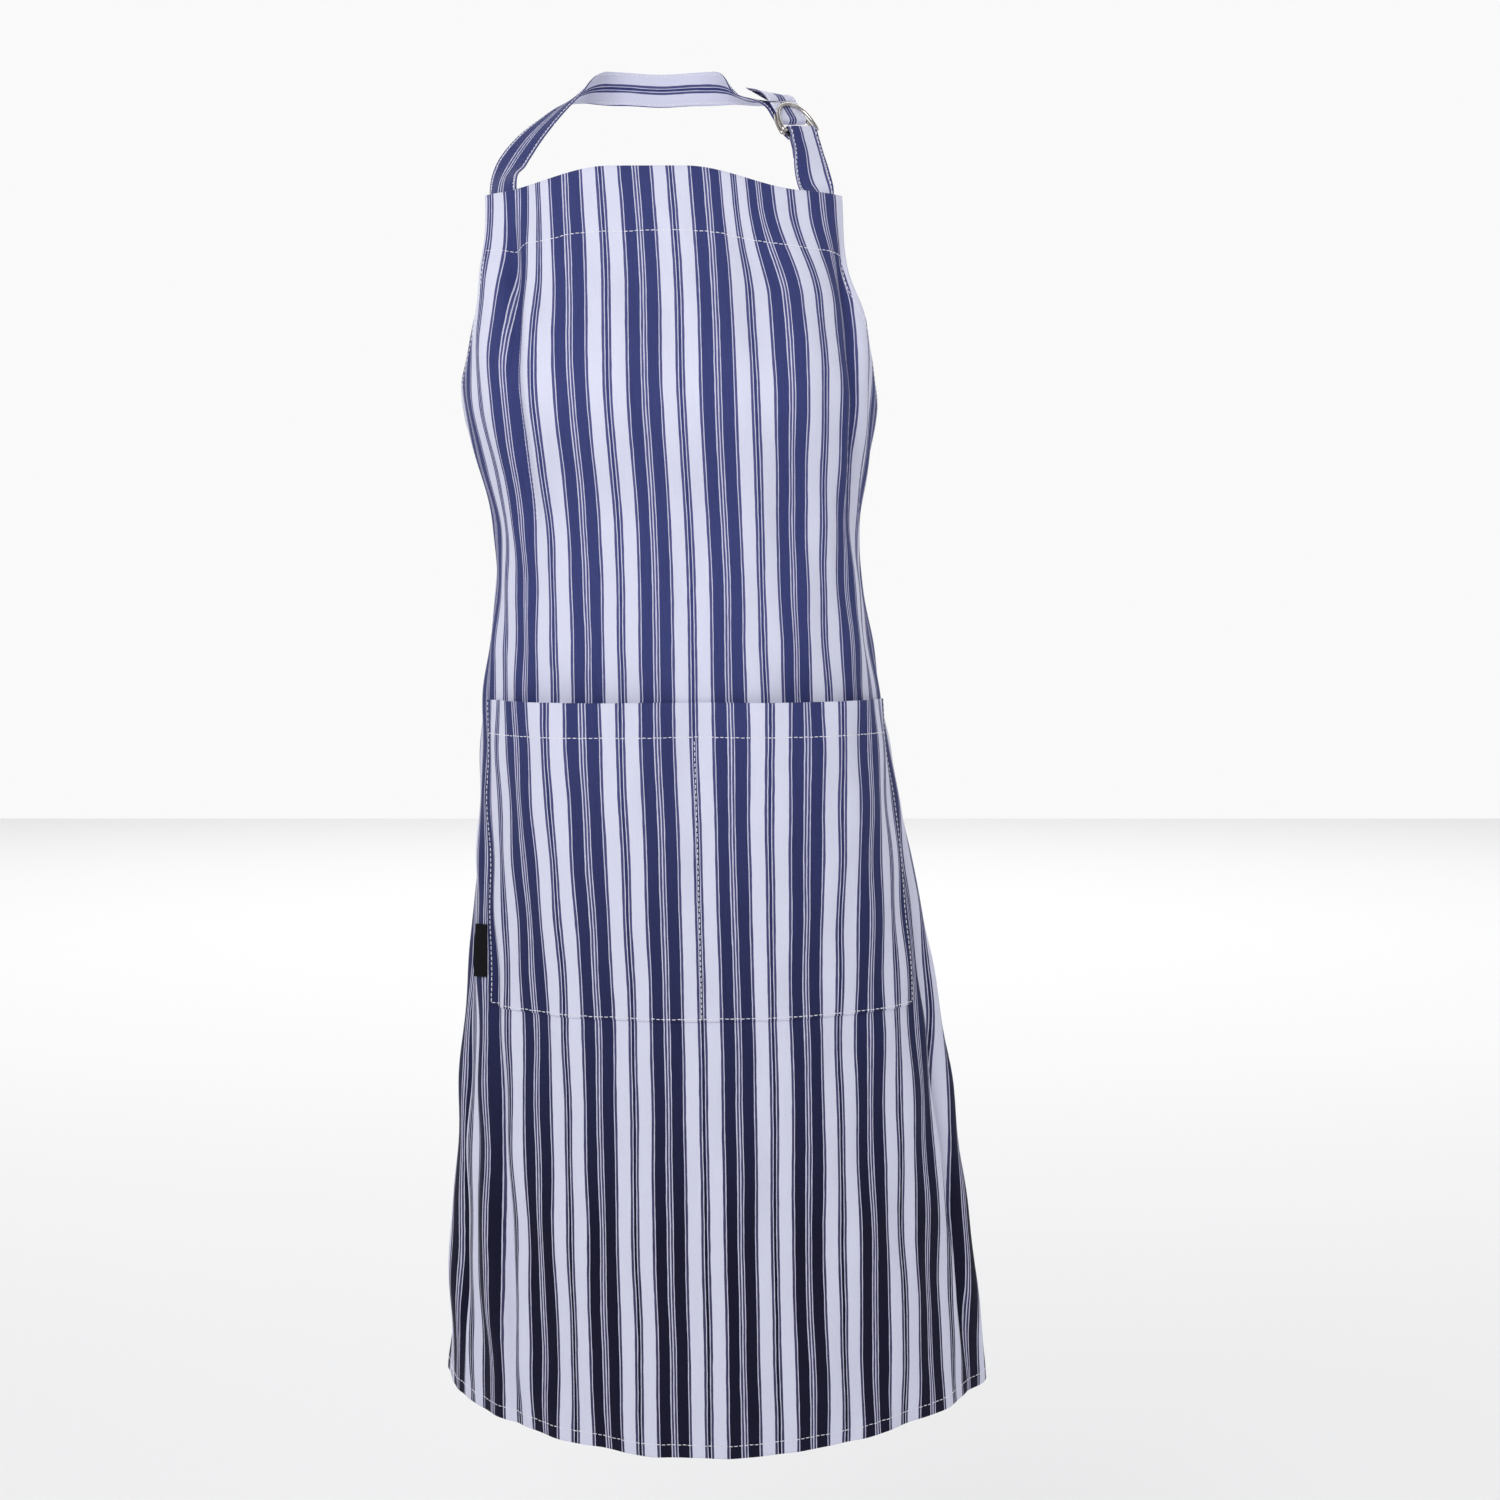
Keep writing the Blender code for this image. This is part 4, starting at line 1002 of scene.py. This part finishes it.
def make_bow(hand, sign, knot, cotton, thread):
    """Loop of the bow: out from the knot, round and back, drooping to its side."""
    outward = np.array((sign * np.cos(BOW_DROOP), 0.0, -np.sin(BOW_DROOP)))
    across = np.array((sign * np.sin(BOW_DROOP), 0.0, np.cos(BOW_DROOP)))
    stops = [(knot + reach * outward + np.array((0.0, depth, 0.0)), across) for reach, depth in BOW_ROUTE]
    centres = smooth_route(stops)[0]
    beyond = (centres - knot) @ outward - BOW_ROUTE[0][0]
    facings = np.cross(np.gradient(centres, axis=0), across)
    strip(f"{hand}_bow", (centres, facings), STRAP_PHASE, cotton, thread, f"{hand}_bow", f"{hand}_bow_loop",
          "gathered", ["knot"], width=spreading(beyond, BOW_SPREAD),
          gather=0.5 * gathering(beyond, BOW_GATHER))


def make_loose_end(hand, sign, knot, cotton, thread):
    """Free end of a tie, hanging from the knot."""
    stops = [(knot + (sign * across, 0.0015 + 0.004 * min(1.0, -drop / 0.1), drop), (0.15 * sign, 1.0, 0.0))
             for across, drop in TAIL_ROUTE]
    centres, facings = smooth_route(stops)
    beyond = knot[2] - centres[:, 2] + TAIL_ROUTE[0][1]
    strip(f"{hand}_loose_end", (centres, facings), STRAP_PHASE, cotton, thread, f"{hand}_end",
          f"{hand}_tie_end", "hung", ["knot"], width=spreading(beyond, END_SPREAD, PINCHED - 0.002),
          gather=0.5 * gathering(beyond, END_GATHER))


def make_apron():
    cotton = striped_cotton()
    thread = white_thread()
    steel = nickel()
    make_panel(cotton, thread)
    make_pocket(cotton, thread)
    make_label(label_satin())
    make_ring("front_ring_wire", 1, steel, "front_ring", "front_d_ring")
    make_ring("back_ring_wire", -1, steel, "back_ring", "back_d_ring")
    make_neck_strap(cotton, thread)
    make_ring_strap(cotton, thread)
    knot = knot_centre()
    make_knot(cotton, knot)
    for hand, sign in (("left", -1), ("right", 1)):
        make_tie(hand, sign, knot, cotton, thread)
        make_bow(hand, sign, knot, cotton, thread)
        make_loose_end(hand, sign, knot, cotton, thread)


# ======== studio ========

def area_light(name, place, target, size, power, colour):
    data = bpy.data.lights.new(name, "AREA")
    data.shape = "RECTANGLE"
    data.size, data.size_y = size
    data.energy = power
    data.color = colour
    lamp = bpy.data.objects.new(name, data)
    lamp.location = place
    lamp.rotation_euler = (Vector(target) - Vector(place)).to_track_quat("-Z", "Y").to_euler()
    bpy.context.scene.collection.objects.link(lamp)


def make_world():
    """Even white surroundings, brighter behind the apron than in front of it."""
    world = bpy.data.worlds.new("studio")
    world.use_nodes = True
    tree = world.node_tree
    background = tree.nodes["Background"]
    direction = tree.nodes.new("ShaderNodeTexCoord").outputs["Generated"]
    parts = tree.nodes.new("ShaderNodeSeparateXYZ")
    tree.links.new(direction, parts.inputs[0])
    ramp = tree.nodes.new("ShaderNodeMapRange")
    ramp.interpolation_type = "SMOOTHSTEP"
    tree.links.new(parts.outputs["Y"], ramp.inputs["Value"])
    for key, value in (("From Min", -0.4), ("From Max", 0.8), ("To Min", 0.34), ("To Max", 0.95)):
        ramp.inputs[key].default_value = value
    tree.links.new(ramp.outputs["Result"], background.inputs["Strength"])
    background.inputs["Color"].default_value = (1.0, 1.0, 1.0, 1.0)
    bpy.context.scene.world = world


def make_studio():
    data = bpy.data.cameras.new("camera")
    data.sensor_width = SENSOR
    data.lens = LENS
    camera = bpy.data.objects.new("camera", data)
    camera.location = CAMERA
    camera.rotation_euler = (np.pi / 2 - PITCH, 0, 0)
    bpy.context.scene.collection.objects.link(camera)
    bpy.context.scene.camera = camera
    corners = [(-FLOOR_SIZE, -FLOOR_SIZE, FLOOR), (FLOOR_SIZE, -FLOOR_SIZE, FLOOR),
               (FLOOR_SIZE, FLOOR_SIZE, FLOOR), (-FLOOR_SIZE, FLOOR_SIZE, FLOOR)]
    floor = build("floor", corners, [(0, 1, 2, 3)])
    floor.data.materials.append(paint("floor_paint", (0.88, 0.88, 0.89)))
    make_world()
    bpy.context.scene.view_settings.view_transform = "Standard"
    for light in LIGHTS:
        area_light(*light)


make_apron()
make_studio()
